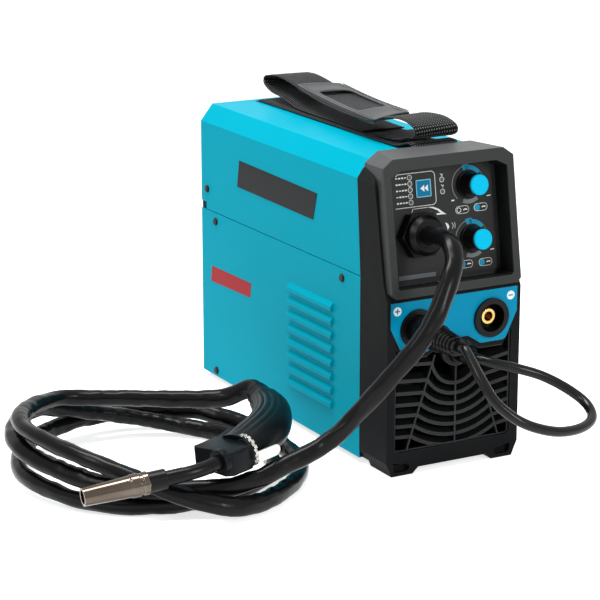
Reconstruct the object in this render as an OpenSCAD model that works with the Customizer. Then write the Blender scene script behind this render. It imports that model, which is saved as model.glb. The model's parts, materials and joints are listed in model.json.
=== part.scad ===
// Portable MIG and stick inverter welder: sheet steel case on a base pan, moulded
// front with a leaning control bezel, fixed torch with its coiled lead, polarity
// lead, carrying strap, wire spool and feeder behind a side door, fan at the rear.
// Frame: +Z up, front towards -Y, origin at the middle of the base pan's underside.

/* [Case] */
// Width over the steel sides
body_w = 140; // [136:1:160]
// Length from the moulded front to the rear panel
body_l = 362; // [350:1:400]
// Height of the hood's flat top over the pan's underside
case_h = 274; // [270:1:290]
// Height of the seam between the lower sides and the hood
seam_h = 170; // [166:1:174]
// Sideways run of the bevel along each top edge
bevel_w = 13; // [8:1:18]
// Drop of the bevel along each top edge
bevel_h = 16; // [12:1:22]
// Thickness of the sheet steel
sheet = 1.2; // [0.8:0.1:1.6]
// Height of the feet under the base pan
foot_h = 5.5; // [4:0.5:9]
// Gap left along the hood's seam
seam_gap = 0.8; // [0.4:0.1:1.5]

/* [Louvres] */
// Pressed louvres on each lower side
louvre_count = 8; // [4:1:8]
// Length of one louvre
louvre_l = 84; // [50:1:100]
// Height from one louvre to the next
louvre_pitch = 13.2; // [12:0.1:14]
// How far a louvre stands out of the side
louvre_out = 3; // [2:0.5:4]

/* [Front] */
// Depth of the moulded front from its face to the steel case
fascia_d = 47; // [40:1:56]
// Wall of the moulded front
wall = 3; // [2:0.5:4]
// Height at which the front starts to lean back
knee_h = 155; // [150:1:158]
// Backward lean of the cheeks in degrees
cheek_lean = 10.7; // [8:0.1:12]
// Width of the bezel over its sides
bezel_w = 135; // [130:1:136]
// How far the bezel's top stands over the case
bezel_rise = 6; // [3:0.5:8]
// Backward lean of the bezel in degrees
bezel_lean = 9.1; // [7:0.1:11]
// How far the bezel's foot stands in front of the fascia
bezel_out = 4.7; // [3:0.1:7]
// Depth from the bezel's face down to the control panel
well_d = 20.7; // [16:0.1:24]
// Width of the bezel's opening
well_w = 121; // [112:1:124]

/* [Controls] */
// Diameter of a knob at its skirt
knob_d = 23; // [18:1:26]
// Diameter of a knob's coloured cap
cap_d = 18.5; // [14:0.5:18.5]
// Height of a knob over the panel
knob_h = 20; // [14:0.5:24]
// Diameter of the potentiometer shafts
pot_d = 6; // [5:0.5:7]
// Side of the square mode button
button_w = 15; // [12:0.5:16]
// Travel of the mode button
button_travel = 1; // [0.5:0.1:1.5]
// Diameter of the lamp lenses
led_d = 3; // [2:0.5:4]

/* [Sockets] */
// Distance of each weld socket from the middle
socket_x = 38.5; // [36:0.5:42]
// Drop of the weld sockets below the front's knee
socket_drop = 26; // [23:0.5:27]
// Diameter of the socket flange
socket_d = 36; // [30:0.5:37]
// Bore of the brass socket
socket_bore = 9; // [8.5:0.1:10]
// Outer diameter of the brass socket
brass_d = 14; // [12:0.5:16]

/* [Grille] */
// Curved louvres under the hub
arc_count = 7; // [4:1:7]
// Radius of the first curved louvre
arc_first = 24; // [22:0.5:26]
// Step from one curved louvre to the next
arc_pitch = 9.6; // [9:0.1:9.8]
// Front edge thickness of a louvre
arc_t = 2.8; // [2:0.1:3.4]
// Depth of the louvre blades
arc_depth = 8; // [6:0.5:10]

/* [Leads] */
// Diameter of the torch lead's sleeve
lead_d = 16.5; // [15:0.5:17]
// Diameter of the polarity lead
pole_d = 9; // [7:0.5:10]

/* [Strap] */
// Width of the carrying strap's webbing
strap_w = 50; // [40:1:52]
// Thickness of the webbing
strap_t = 2; // [1.5:0.1:3]
// Thickness of the sliding shoulder pad
pad_t = 4; // [3:0.5:5]

/* [Inside] */
// Outer diameter of the wire spool
spool_d = 98; // [80:1:99]
// Width of the wire spool
spool_w = 44; // [38:1:46]
// Diameter of the spool hub's shaft
hub_d = 16; // [14:0.5:18]
// Diameter of the drive roller
roller_d = 30; // [24:1:32]
// Diameter of the pressure roller
idler_d = 22; // [18:1:24]
// Side of the square fan
fan_w = 120; // [100:1:124]
// Depth of the fan frame
fan_t = 25; // [20:1:30]

/* [Hidden] */
e = 0.01;
fit = 0.05;
hw = body_w / 2;
inner = hw - sheet;
front_y = -body_l / 2;
rear_y = body_l / 2;
case_y = front_y + fascia_d;
// The joint between front and case leans back a little above the seam.
joint_lean = 4.2;
function joint_y(z) = case_y + max(0, z - seam_h) * tan(joint_lean);
panel_y = rear_y - sheet;
roof = case_h - sheet;
// The deck leaves room over itself for the wire spool.
deck_h = roof - spool_d - 14.8;

// ---- shared outlines -------------------------------------------------------

// Cross section of the steel case between two heights, inset by g.
function case_outline(z0, g) = [
    [-hw + g, z0], [hw - g, z0], [hw - g, case_h - bevel_h - g * 0.35],
    [hw - bevel_w - g * 0.35, case_h - g], [-hw + bevel_w + g * 0.35, case_h - g],
    [-hw + g, case_h - bevel_h - g * 0.35]];

// Draws a front view outline (x, z) and extends it from y0 back to y1.
module along_y(y0, y1) {
    translate([0, y1, 0]) rotate([90, 0, 0]) linear_extrude(y1 - y0) children();
}

// Draws a side view outline (y, z) and extends it from x0 to x1.
module along_x(x0, x1) {
    translate([x0, 0, 0]) rotate([90, 0, 90]) linear_extrude(x1 - x0) children();
}

// A round bar along Y that starts at y0 and ends at y1.
module bar_y(x, z, y0, y1, d) {
    translate([x, y0, z]) rotate([-90, 0, 0]) cylinder(d = d, h = y1 - y0, $fn = 64);
}

// A round bar along X that starts at x0 and ends at x1.
module bar_x(y, z, x0, x1, d) {
    translate([x0, y, z]) rotate([0, 90, 0]) cylinder(d = d, h = x1 - x0, $fn = 64);
}

// ---- steel case ------------------------------------------------------------

foot_x = 48;
foot_y = rear_y - 40;
foot_d = 18;

module base_pan() {
    color("dimgray") difference() {
        union() {
            translate([-inner, case_y, 0]) cube([2 * inner, panel_y - case_y, sheet]);
            for (s = [-1, 1]) translate([s * (inner - sheet / 2) - sheet / 2, case_y + 2, 0])
                cube([sheet, panel_y - case_y - 4, 13]);
        }
        for (s = [-1, 1]) translate([s * foot_x, foot_y, -1])
            cylinder(d = foot_d + 1, h = sheet + 2, $fn = 48);
        for (s = [0, 1]) mirror([s, 0, 0]) bar_x(rear_y - 30, 6, inner - 3, hw, 4.2);
    }
}

module rear_feet() {
    color("black") for (s = [-1, 1]) translate([s * foot_x, foot_y, 0]) {
        translate([0, 0, sheet]) cylinder(d = foot_d + 7, h = 2.5, $fn = 48);
        translate([0, 0, -foot_h]) cylinder(d = foot_d, h = foot_h + sheet, $fn = 48);
    }
}

louvre_mid = 83.5;
louvre_y = -44;
louvre_h = 7;

// One pressed louvre on the side x = hw: a lip that leans out and is open below.
module louvre_skin() {
    along_y(louvre_y - louvre_l / 2, louvre_y + louvre_l / 2)
        polygon([[inner, louvre_h / 2 + 1], [hw, louvre_h / 2 + 1],
            [hw + louvre_out, 0.5], [hw + louvre_out, -louvre_h / 2],
            [hw + louvre_out - sheet, -louvre_h / 2], [hw + louvre_out - sheet, 0],
            [inner, louvre_h / 2 - 1]]);
    for (s = [-1, 1]) translate([0, louvre_y + s * (louvre_l - 1) / 2, 0]) along_y(-0.5, 0.5)
        polygon([[inner, louvre_h / 2 + 1], [hw, louvre_h / 2 + 1], [hw + louvre_out, 0.5],
            [hw + louvre_out, -louvre_h / 2], [inner, -louvre_h / 2]]);
}

screw_y = [rear_y - 31, case_y + 32];
screw_h = seam_h - 9;

// Lower side at x = hw, with its louvres and screw holes.
module lower_side() {
    z_first = louvre_mid - (louvre_count - 1) / 2 * louvre_pitch;
    difference() {
        translate([inner, case_y, 0]) cube([sheet, rear_y - case_y, seam_h - seam_gap / 2]);
        for (i = [0 : louvre_count - 1])
            translate([inner - 1, louvre_y - louvre_l / 2, z_first + i * louvre_pitch - louvre_h / 2])
                cube([sheet + 2, louvre_l, louvre_h]);
        for (y = screw_y) bar_x(y, screw_h, inner - 1, hw + 1, 4.2);
        bar_x(rear_y - 30, 6, inner - 1, hw + 1, 4.2);
    }
    for (i = [0 : louvre_count - 1]) translate([0, 0, z_first + i * louvre_pitch]) louvre_skin();
}

module side_panel_left() {
    color("darkturquoise") mirror([1, 0, 0]) lower_side();
}

module side_panel_right() {
    color("darkturquoise") lower_side();
}

door_y0 = case_y + 24;
door_y1 = rear_y - 20;
door_h0 = seam_h + seam_gap / 2;
door_gap = 1;

// Region behind the leaning joint between front and case.
module behind_joint(z0, z1) {
    along_x(-hw - 5, hw + 5)
        polygon([[joint_y(z0), z0], [rear_y, z0], [rear_y, z1], [joint_y(z1), z1],
            [joint_y(seam_h), seam_h]]);
}

strap_x = 13;
anchor_y0 = joint_y(case_h) + 4;
anchor_y1 = rear_y - 10;

// Space outside a plane x = x0 at the door's place, from height z0 to over the roof.
module door_region(y0, y1, z0, x0) {
    translate([x0, y0, z0]) cube([hw - x0 + 1, y1 - y0, case_h - z0 + 1]);
}

module hood() {
    z0 = seam_h + seam_gap / 2;
    color("darkturquoise") difference() {
        intersection() {
            along_y(case_y - 1, rear_y + 1) difference() {
                polygon(case_outline(z0, 0));
                polygon(case_outline(z0 - 1, sheet));
            }
            behind_joint(z0 - 1, case_h + 1);
        }
        door_region(door_y0, door_y1, door_h0 - 2, hw - bevel_w);
        translate([-hw - 1, rear_y - 11, z0 - 1]) cube([4, 12, 8]);
        for (s = [-1, 1]) bar_x(rear_y - 13, seam_h + 21, s * hw - 3, s * hw + 3, 4.2);
        for (y = [anchor_y0 - 2, anchor_y1 - 4]) translate([strap_x - strap_w / 2 - 2, y, case_h - 3])
            cube([strap_w + 2, 6, 6]);
    }
    // Tabs on the inside that the closed door's edges come to rest in front of.
    color("darkturquoise") for (s = [-1, 1]) {
        y = s < 0 ? door_y0 : door_y1;
        translate([inner - 1.5, y - 6, 215]) cube([1.4, 12, 20]);
        translate([inner - 1.5, y + (s < 0 ? -6 : 1), 215]) cube([1.5, 5, 20]);
    }
}

fan_z = deck_h / 2 - 2;
fan_hole = fan_w - 8;

module rear_panel() {
    color("dimgray") difference() {
        along_y(panel_y, rear_y) polygon(case_outline(0, sheet));
        for (r = [12 : 9 : fan_hole / 2 - 3]) translate([0, rear_y + 1, fan_z]) rotate([90, 0, 0])
            linear_extrude(sheet + 2) difference() {
                circle(r = r + 3, $fn = 72);
                circle(r = r - 3, $fn = 72);
                for (a = [0, 90]) rotate(a + 45) square([fan_w, 5], center = true);
            }
        translate([-38, panel_y - 1, 200]) cube([22, sheet + 2, 28]);
        translate([-39, panel_y - 1, 212]) cube([24, sheet + 2, 4]);
        bar_y(30, 214, panel_y - 1, rear_y + 1, 20);
        bar_y(30, 180, panel_y - 1, rear_y + 1, 10);
    }
}

// A domed machine screw whose head sits on the plane x = 0 and points to +X.
module screw_head() {
    rotate([0, 90, 0]) {
        cylinder(d1 = 8, d2 = 6, h = 1.8, $fn = 32);
        translate([0, 0, -4]) cylinder(d = 3.6, h = 4, $fn = 24);
    }
}

module case_screws() {
    color("silver") for (s = [0, 1]) mirror([s, 0, 0]) {
        for (y = screw_y) translate([hw, y, screw_h]) screw_head();
        translate([hw, rear_y - 30, 6]) screw_head();
        translate([hw, rear_y - 13, seam_h + 21]) screw_head();
    }
}

// ---- side door -------------------------------------------------------------

hinge_x = hw + 2.9;
hinge_z = seam_h + 0.3;
hinge_ys = [door_y0 + 45, door_y1 - 45];
hinge_pin = 3;
knuckle_d = 5;
knuckle_l = 12;

module door() {
    z0 = door_h0 + door_gap - 0.4;
    color("darkturquoise") difference() {
        union() {
            intersection() {
                along_y(door_y0 + door_gap, door_y1 - door_gap) difference() {
                    polygon(case_outline(z0, 0));
                    polygon(case_outline(z0 - 1, sheet));
                }
                door_region(door_y0, door_y1, z0 - 1, hw - bevel_w + door_gap);
            }
            translate([hw, (door_y0 + door_y1) / 2 - 25, case_h - bevel_h - 12]) cube([9, 50, 3]);
            for (y = hinge_ys) {
                translate([hw, y - knuckle_l / 2 + 0.3, hinge_z + 1.5]) cube([1.4, knuckle_l - 0.6, 12]);
                bar_y(hinge_x, hinge_z, y - knuckle_l / 2 + 0.3, y + knuckle_l / 2 - 0.3, knuckle_d);
                translate([hw + 0.3, y - knuckle_l / 2 + 0.3, hinge_z + 0.5])
                    cube([1.1, knuckle_l - 0.6, 3]);
            }
        }
        for (y = hinge_ys) bar_y(hinge_x, hinge_z, y - 10, y + 10, hinge_pin + 2 * fit);
    }
}

module door_hinges() {
    color("silver") for (y = hinge_ys) {
        bar_y(hinge_x, hinge_z, y - 18, y + 18, hinge_pin);
        for (s = [-1, 1]) {
            bar_y(hinge_x, hinge_z, y + s * 12 - 6, y + s * 12 + 6, knuckle_d);
            translate([hw, y + s * 12 - 6, hinge_z - 6.5]) cube([1.4, 12, 5.5]);
            translate([hw + 0.3, y + s * 12 - 6, hinge_z - 3]) cube([2, 12, 2]);
        }
    }
}

// ---- moulded front ---------------------------------------------------------

// Front line of the fascia's cheeks at height z above the knee.
function cheek_y(z) = front_y + 7.3 + (z - knee_h - 16.5) * tan(cheek_lean);

// Side view of the moulded front; the cheeks round off below the bezel's roof.
function fascia_side(g, back) = let (y = cheek_y(case_h - 22) + g, z = case_h - g) [
    [back, g], [front_y + g, g], [front_y + g, knee_h], [front_y + 3.4 + g, knee_h + 6.5],
    [cheek_y(knee_h + 16.5) + g, knee_h + 16.5], [y, case_h - 22], [y + 1.5, case_h - 17.2 - g / 2],
    [y + 5, z - 13.7], [y + 12, z - 10.9], [y + 20, z - 9.4], [joint_y(case_h), z - 8],
    [back + 8, z - 8]];

module fascia_front(g) {
    polygon([[-hw + 3.7 + g, -0.1], [hw - 3.7 - g, -0.1], [hw - g, 8], [hw - g, case_h - bevel_h],
        [hw - bevel_w - g / 2, case_h + 1], [-hw + bevel_w + g / 2, case_h + 1],
        [-hw + g, case_h - bevel_h], [-hw + g, 8]]);
}

foot_in = 36;
foot_depth = 36;
socket_h = knee_h - socket_drop;
// Height of the lower opening under the sockets; it rises by hump_h in the middle.
opening_h = knee_h - 52.5;
hump_h = 8.5;

// Outline of the lower opening, which follows the socket plate's lower edge.
well_hw = hw - 9;
module grille_outline(g) {
    polygon([[-well_hw - g, 19], [-well_hw + 3, 16 - g], [well_hw - 3, 16 - g], [well_hw + g, 19],
        [well_hw + g, opening_h + 14.5 + 3 * g], [51.5 - g / 2, opening_h + g], [28, opening_h + g],
        [15 + g / 2, opening_h + hump_h + g], [-15 - g / 2, opening_h + hump_h + g],
        [-28, opening_h + g], [-51.5 + g / 2, opening_h + g], [-well_hw - g, opening_h + 14.5 + 3 * g]]);
}

module plate_outline(g) {
    x = hw - 3.5 - g;
    z = opening_h + 4;
    polygon([[-x, knee_h - g], [x, knee_h - g], [x, z + 25.5], [55 - g, z + 2], [52 - g, z + g],
        [28, z + g], [14.5, z + hump_h + g], [-14.5, z + hump_h + g], [-28, z + g], [-52 + g, z + g],
        [-55 + g, z + 2], [-x, z + 25.5]]);
}

plate_t = 1.6;

module front_fascia() {
    color([0.16, 0.17, 0.18]) difference() {
        union() {
            intersection() {
                along_x(-hw, hw) polygon(fascia_side(0, case_y));
                along_y(front_y - 1, case_y + 20) fascia_front(0);
                translate([0, 0, 0]) front_of_joint();
            }
            for (s = [-1, 1]) along_y(front_y, front_y + foot_depth)
                polygon([[s * foot_in, 0], [s * (foot_in + 6), -foot_h], [s * (hw - 6), -foot_h],
                    [s * (hw - 3.7), 0]]);
        }
        intersection() {
            along_x(-hw + wall, hw - wall) polygon(fascia_side(wall, case_y + 30));
            along_y(front_y - 1, case_y + 40) fascia_front(wall);
        }
        along_y(front_y - 1, front_y + wall + 1) grille_outline(0);
        along_y(front_y - 1, front_y + plate_t) plate_outline(0);
        bar_y(hub_x, gland_z, front_y - 1, front_y + wall + 1, 16.4);
        for (s = [-1, 1]) bar_y(s * socket_x, socket_h, front_y - 1, front_y + wall + 1, socket_d - 6);
        on_face(well_d + 8) linear_extrude(well_d + 8) well_outline(wall + 0.2);
        for (s = [-1, 1]) along_y(front_y - 1, front_y + 6)
            polygon([[s * 62.5, 7], [s * 62.5, 1], [s * 60, -2.5], [s * 47.5, -2.5],
                [s * 44.5, 1.5], [s * 46.5, 5]]);
    }
}

// Everything in front of the leaning joint.
module front_of_joint() {
    along_x(-hw - 5, hw + 5)
        polygon([[front_y - 30, -foot_h - 1], [case_y, -foot_h - 1], [case_y, seam_h],
            [joint_y(case_h), case_h], [joint_y(case_h), case_h + 20], [front_y - 30, case_h + 20]]);
}

// Puts a drawing on the bezel's leaning face: x across, y up the face, z outwards.
face_y = front_y - bezel_out;
face_z = knee_h + 4.5;
bezel_top = case_h + bezel_rise;
// Length of the bezel along its leaning face
bezel_l = (bezel_top - face_z) / cos(bezel_lean);
module on_face(depth) {
    translate([0, face_y, face_z]) rotate([90 - bezel_lean, 0, 0]) translate([0, 0, -depth]) children();
}

bezel_bevel = [10, 7.2];

module well_outline(g) {
    x = well_w / 2 + g;
    polygon([[-x, 9.3], [-x + 2, 7.3 - g], [x - 2, 7.3 - g], [x, 9.3], [x, bezel_l - 16.1 + g],
        [x - 10.8, bezel_l - 10.6 + g], [-x + 10.8, bezel_l - 10.6 + g], [-x, bezel_l - 16.1 + g]]);
}

module bezel() {
    color([0.2, 0.21, 0.22]) difference() {
        union() {
            difference() {
                intersection() {
                    along_y(face_y - 5, joint_y(case_h)) front_bezel_view();
                    along_x(-hw, hw) polygon([[face_y, face_z],
                        [face_y + bezel_l * sin(bezel_lean), bezel_top], [joint_y(case_h), bezel_top],
                        [joint_y(case_h), face_z]]);
                    front_of_joint();
                }
                along_x(-hw - 1, hw + 1) polygon(fascia_side(0, case_y + 60));
            }
            on_face(well_d + 5) linear_extrude(well_d + 4) well_outline(wall);
        }
        on_face(well_d + 6) linear_extrude(well_d + 7) well_outline(0);
        bezel_bevels();
    }
}

// What the bevels along the bezel's roof cut away; they and the roof's sides draw in
// towards the back, until they meet the hood's.
module bezel_bevels() {
    side_in = 5.5;
    front = face_y + bezel_l * sin(bezel_lean) + 1.5;
    x = bezel_w / 2 - bezel_bevel[0];
    rise = bezel_bevel[1] * cos(bezel_lean);
    in = x - hw + bevel_w + bezel_rise * bezel_bevel[0] / rise;
    draw = atan2(in, joint_y(case_h) - front);
    for (s = [0, 1]) mirror([s, 0, 0]) translate([-x, front, bezel_top]) rotate([0, 0, -draw])
        rotate([0, -atan2(rise, bezel_bevel[0] * cos(draw)), 0])
            translate([-40, -20, 0]) cube([60, 100, 20]);
    for (s = [0, 1]) mirror([s, 0, 0]) translate([-bezel_w / 2, front, seam_h])
        rotate([0, 0, -atan2(side_in, joint_y(case_h) - front)])
            translate([-20, -10, 0]) cube([20, 100, case_h]);
}

module front_bezel_view() {
    x = bezel_w / 2;
    c = cos(bezel_lean);
    z = bezel_top - bezel_bevel[1] * c;
    polygon([[-x + 4, face_z], [x - 4, face_z], [x, face_z + 4 * c], [x, z],
        [x - bezel_bevel[0], bezel_top], [-x + bezel_bevel[0], bezel_top], [-x, z],
        [-x, face_z + 4 * c]]);
}

panel_t = 2;
panel_low = 12.4;
knob_x = 31;
knob_v = [bezel_l - 31, bezel_l - 79.6];
gland_x = -25;
gland_v = bezel_l - 70;
gland_d = 30;
button_at = [-16.5, bezel_l - 29.7];
lamp_at = concat([for (i = [0 : 4]) [-29.5, bezel_l - 19 - 5.5 * i]],
    [[3.8, bezel_l - 24], [3.8, bezel_l - 34.7]]);

module control_panel() {
    x = well_w / 2 - 0.3;
    color([0.2, 0.2, 0.21]) on_face(well_d + panel_t) difference() {
        union() {
            linear_extrude(panel_t) polygon([[-x, panel_low], [x, panel_low], [x, bezel_l - 16.5],
                [x - 10.4, bezel_l - 11], [-x + 10.4, bezel_l - 11], [-x, bezel_l - 16.5]]);
            translate([-x, panel_low - 4.7, -3]) cube([2 * x, 4.7, 2]);
            translate([-x, panel_low - 2, -3]) cube([2 * x, 4, 3]);
        }
        for (v = knob_v) translate([knob_x, v, -4]) cylinder(d = pot_d + 1, h = 8, $fn = 32);
        translate([gland_x, gland_v, -4]) cylinder(d = gland_d + 0.4, h = 8, $fn = 64);
        translate([button_at[0] - button_w / 2 - 0.3, button_at[1] - button_w / 2 - 0.3, -1])
            cube([button_w + 0.6, button_w + 0.6, 5]);
        for (p = lamp_at) translate([p[0], p[1], -1]) cylinder(d = led_d + 0.02, h = 4, $fn = 24);
    }
}

module lamp_lenses() {
    color("white") on_face(well_d) for (p = lamp_at) translate([p[0], p[1], -panel_t]) {
        cylinder(d = led_d, h = panel_t + 0.4, $fn = 24);
        translate([0, 0, -1]) cylinder(d = led_d + 1.2, h = 1, $fn = 24);
    }
}

module mode_button() {
    color([0, 0.55, 0.75]) on_face(well_d) translate([button_at[0], button_at[1], 0]) {
        translate([-button_w / 2, -button_w / 2, -panel_t - 0.8]) cube([button_w, button_w, panel_t + 2.2]);
        translate([-button_w / 2 - 1, -button_w / 2 - 1, -panel_t - 1.3])
            cube([button_w + 2, button_w + 2, 1]);
        translate([0, 0, -panel_t - 5]) cylinder(d = 4, h = 4, $fn = 24);
    }
}

// One knob body with flutes round its skirt, on its potentiometer shaft.
module knob_body() {
    cap_h = 2.4;
    difference() {
        union() {
            translate([0, 0, 0.5])
                cylinder(d1 = knob_d, d2 = cap_d + 1.6, h = knob_h - cap_h - 0.5, $fn = 48);
            translate([0, 0, 0.5]) cylinder(d = knob_d + 2, h = 2, $fn = 48);
        }
        for (a = [0 : 15 : 345]) rotate(a) translate([knob_d / 2 + 0.7, 0, 3.2])
            cylinder(d = 2.2, h = knob_h, $fn = 12);
    }
    translate([0, 0, -panel_t - 6]) cylinder(d = pot_d, h = panel_t + 7, $fn = 32);
}

module knob_cap() {
    translate([0, 0, knob_h - 2.4]) {
        cylinder(d = cap_d, h = 1.6, $fn = 64);
        translate([0, 0, 1.6]) cylinder(d1 = cap_d, d2 = cap_d - 1.6, h = 0.8, $fn = 64);
    }
}

module knob_at(i) {
    on_face(well_d) translate([knob_x, knob_v[i], 0]) children();
}

module knob_upper() {
    color([0.08, 0.08, 0.09]) knob_at(0) knob_body();
}

module knob_upper_cap() {
    color([0, 0.7, 0.9]) knob_at(0) knob_cap();
}

module knob_lower() {
    color([0.08, 0.08, 0.09]) knob_at(1) knob_body();
}

module knob_lower_cap() {
    color([0, 0.7, 0.9]) knob_at(1) knob_cap();
}

// ---- weld sockets ----------------------------------------------------------

module socket_plate() {
    color([0, 0.55, 0.78]) along_y(front_y, front_y + plate_t) difference() {
        plate_outline(0.15);
        for (s = [-1, 1]) translate([s * socket_x, socket_h]) circle(d = socket_d - 6, $fn = 64);
    }
}

socket_l = 34;

module socket_body(s) {
    difference() {
        union() {
            bar_y(s * socket_x, socket_h, front_y - 2.5, front_y, socket_d);
            bar_y(s * socket_x, socket_h, front_y, front_y + 14, socket_d - 6.4);
            bar_y(s * socket_x, socket_h, front_y + 14, front_y + socket_l - 4, 22);
        }
        bar_y(s * socket_x, socket_h, front_y - 3, front_y + 12, 26);
        bar_y(s * socket_x, socket_h, front_y, front_y + socket_l, brass_d);
    }
}

module socket_brass(s) {
    difference() {
        union() {
            bar_y(s * socket_x, socket_h, front_y + 4, front_y + socket_l, brass_d);
            bar_y(s * socket_x, socket_h, front_y + socket_l, front_y + socket_l + 10, 8);
        }
        bar_y(s * socket_x, socket_h, front_y + 3, front_y + socket_l - 4, socket_bore);
    }
}

module minus_socket_body() {
    color([0.1, 0.1, 0.1]) socket_body(1);
}

module minus_socket_brass() {
    color("gold") socket_brass(1);
}

module plus_socket_body() {
    color([0.1, 0.1, 0.1]) socket_body(-1);
}

module plus_socket_brass() {
    color("gold") socket_brass(-1);
}

// ---- lower grille with its fan of curved louvres ---------------------------

hub_x = 3;
hub_z = opening_h - 4.5;
gland_z = opening_h + 1.5;
grille_y = front_y + 1.5;
// Each slanted rib leaves the hub at rib_off to one side and spreads by rib_run per mm down.
rib_off = [23, 19];
rib_run = [0.335, 0.33];
function rib_drop(r, k) =
    (-rib_off[k] * rib_run[k] + sqrt(pow(rib_off[k] * rib_run[k], 2)
    - (1 + pow(rib_run[k], 2)) * (pow(rib_off[k], 2) - r * r))) / (1 + pow(rib_run[k], 2));
function rib_reach(drop, k) = rib_off[k] + rib_run[k] * drop;
function rib_angle(r, k) = atan2(rib_reach(rib_drop(r, k), k), rib_drop(r, k));

// Blade of radius r round the hub, leaning back towards the hub like a hood. It runs on
// past both slanted ribs.
module arc_blade(r) {
    a0 = min(88, rib_angle(r, 0) + 13);
    a1 = min(88, rib_angle(r, 1) + 13);
    n = 16;
    section = [[0, 0], [arc_t, 0], [arc_t - 4, arc_depth], [-4, arc_depth]];
    pts = [for (i = [0 : n], c = section) let (a = -90 - a0 + (a0 + a1) * i / n)
        [hub_x + (r + c[0]) * cos(a), grille_y + c[1], hub_z + (r + c[0]) * sin(a)]];
    skin = [for (i = [0 : n - 1], j = [0 : 3]) let (p = 4 * i + j, q = 4 * i + (j + 1) % 4)
        each [[p, q + 4, q], [p, p + 4, q + 4]]];
    ends = [[0, 1, 2], [0, 2, 3], [4 * n, 4 * n + 2, 4 * n + 1], [4 * n, 4 * n + 3, 4 * n + 2]];
    polyhedron(pts, concat(skin, ends));
}

// Straight blade that carries a curved one on from its rib to the frame, rising by rise degrees.
module side_blade(r, k, rise) {
    s = k == 0 ? -1 : 1;
    d = rib_drop(r, k);
    x0 = rib_reach(d, k);
    len = hw;
    intersection() {
        translate([hub_x + s * (x0 + 0.3), grille_y + 0.2, hub_z - d]) rotate([0, -s * rise, 0])
            mirror([k == 0 ? 1 : 0, 0, 0]) rotate([90, 0, 90]) linear_extrude(len)
                polygon([[0, -arc_t], [0, 0], [arc_depth, 4], [arc_depth, 4 - arc_t]]);
        along_y(grille_y - 1, grille_y + arc_depth + 1) grille_outline(-0.9);
    }
}

module slanted_rib(k) {
    s = k == 0 ? -1 : 1;
    top = 4;
    low = hub_z - 17;
    intersection() {
        along_y(grille_y - 0.5, grille_y + arc_depth)
            polygon([[hub_x + s * rib_reach(-top, k), hub_z + top],
                [hub_x + s * (rib_reach(-top, k) + 1.4), hub_z + top],
                [hub_x + s * (rib_reach(low, k) + 1.4), hub_z - low],
                [hub_x + s * rib_reach(low, k), hub_z - low]]);
        along_y(grille_y - 1, grille_y + arc_depth + 1) grille_outline(-0.9);
    }
}

// The space between the slanted ribs, reaching in mm into each of them.
module between_ribs(in) {
    low = hub_z + 20;
    along_y(grille_y - 2, grille_y + arc_depth + 2)
        polygon([[hub_x - rib_reach(-20, 0) - in, hub_z + 20], [hub_x + rib_reach(-20, 1) + in, hub_z + 20],
            [hub_x + rib_reach(low, 1) + in, hub_z - low], [hub_x - rib_reach(low, 0) - in, hub_z - low]]);
}

module front_grille() {
    color([0.14, 0.14, 0.15]) difference() {
        union() {
            along_y(front_y + wall, front_y + wall + 2.5) difference() {
                grille_outline(3);
                grille_outline(-1.5);
            }
            along_y(front_y + 2, front_y + wall) difference() {
                grille_outline(-0.2);
                grille_outline(-1.5);
            }
            intersection() {
                for (i = [0 : arc_count - 1]) arc_blade(arc_first + i * arc_pitch);
                between_ribs(0.7);
                along_y(grille_y - 1, grille_y + arc_depth + 3) grille_outline(-0.3);
            }
            for (k = [0, 1]) {
                slanted_rib(k);
                for (i = [0 : arc_count - 1]) side_blade(arc_first + i * arc_pitch, k, 5 + 4 * k);
            }
            along_y(grille_y - 0.5, grille_y + arc_depth)
                translate([hub_x - 0.6, 17]) square([1.2, hub_z - 17]);
            intersection() {
                bar_y(hub_x, gland_z, front_y, grille_y + 6, 30);
                along_y(front_y - 1, grille_y + 7) grille_outline(-0.3);
            }
        }
        bar_y(hub_x, gland_z, grille_y - 2, grille_y + 20, 16.2);
    }
}

// ---- glands and plug -------------------------------------------------------

gland_out = front_y - 24;

module lead_gland() {
    color([0.07, 0.07, 0.07]) difference() {
        union() {
            bar_y(hub_x, gland_z, front_y, front_y + 16, 16);
            translate([hub_x, front_y, gland_z]) rotate([90, 0, 0]) cylinder(d = 23, h = 6, $fn = 6);
            translate([hub_x, front_y - 6, gland_z]) rotate([90, 0, 0])
                cylinder(d = 18, h = front_y - 6 - gland_out - 5, $fn = 48);
            translate([hub_x, gland_out + 5, gland_z]) rotate([90, 0, 0])
                cylinder(d1 = 18, d2 = 13, h = 5, $fn = 48);
        }
        bar_y(hub_x, gland_z, gland_out + 3, front_y + 20, pole_d);
    }
}

plug_end = front_y - 36;
boot_end = front_y - 68;

module polarity_plug() {
    color([0.08, 0.08, 0.08]) {
        bar_y(-socket_x, socket_h, front_y - 2, front_y + 4, 17);
        bar_y(-socket_x, socket_h, front_y + 4, front_y + 26, socket_bore);
        difference() {
            bar_y(-socket_x, socket_h, plug_end, front_y - 2.6, 25);
            for (a = [0 : 30 : 330]) translate([-socket_x, plug_end + 4, socket_h]) rotate([0, a, 0])
                translate([13.6, 0, 0]) rotate([-90, 0, 0]) cylinder(d = 4, h = 20, $fn = 16);
        }
        bar_y(-socket_x, socket_h, front_y - 2.6, front_y - 2, 17);
    }
}

module polarity_boot() {
    n = 6;
    step = (plug_end - boot_end) / (n + 1);
    color([0.06, 0.06, 0.06]) {
        translate([-socket_x, plug_end, socket_h]) rotate([90, 0, 0])
            cylinder(d1 = 20, d2 = 14, h = plug_end - boot_end, $fn = 48);
        for (i = [0 : n - 1]) translate([-socket_x, plug_end - (i + 0.3) * step, socket_h]) rotate([90, 0, 0])
            cylinder(d1 = 23 - 0.9 * i, d2 = 22 - 0.9 * i, h = step * 0.6, $fn = 48);
    }
}

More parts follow.
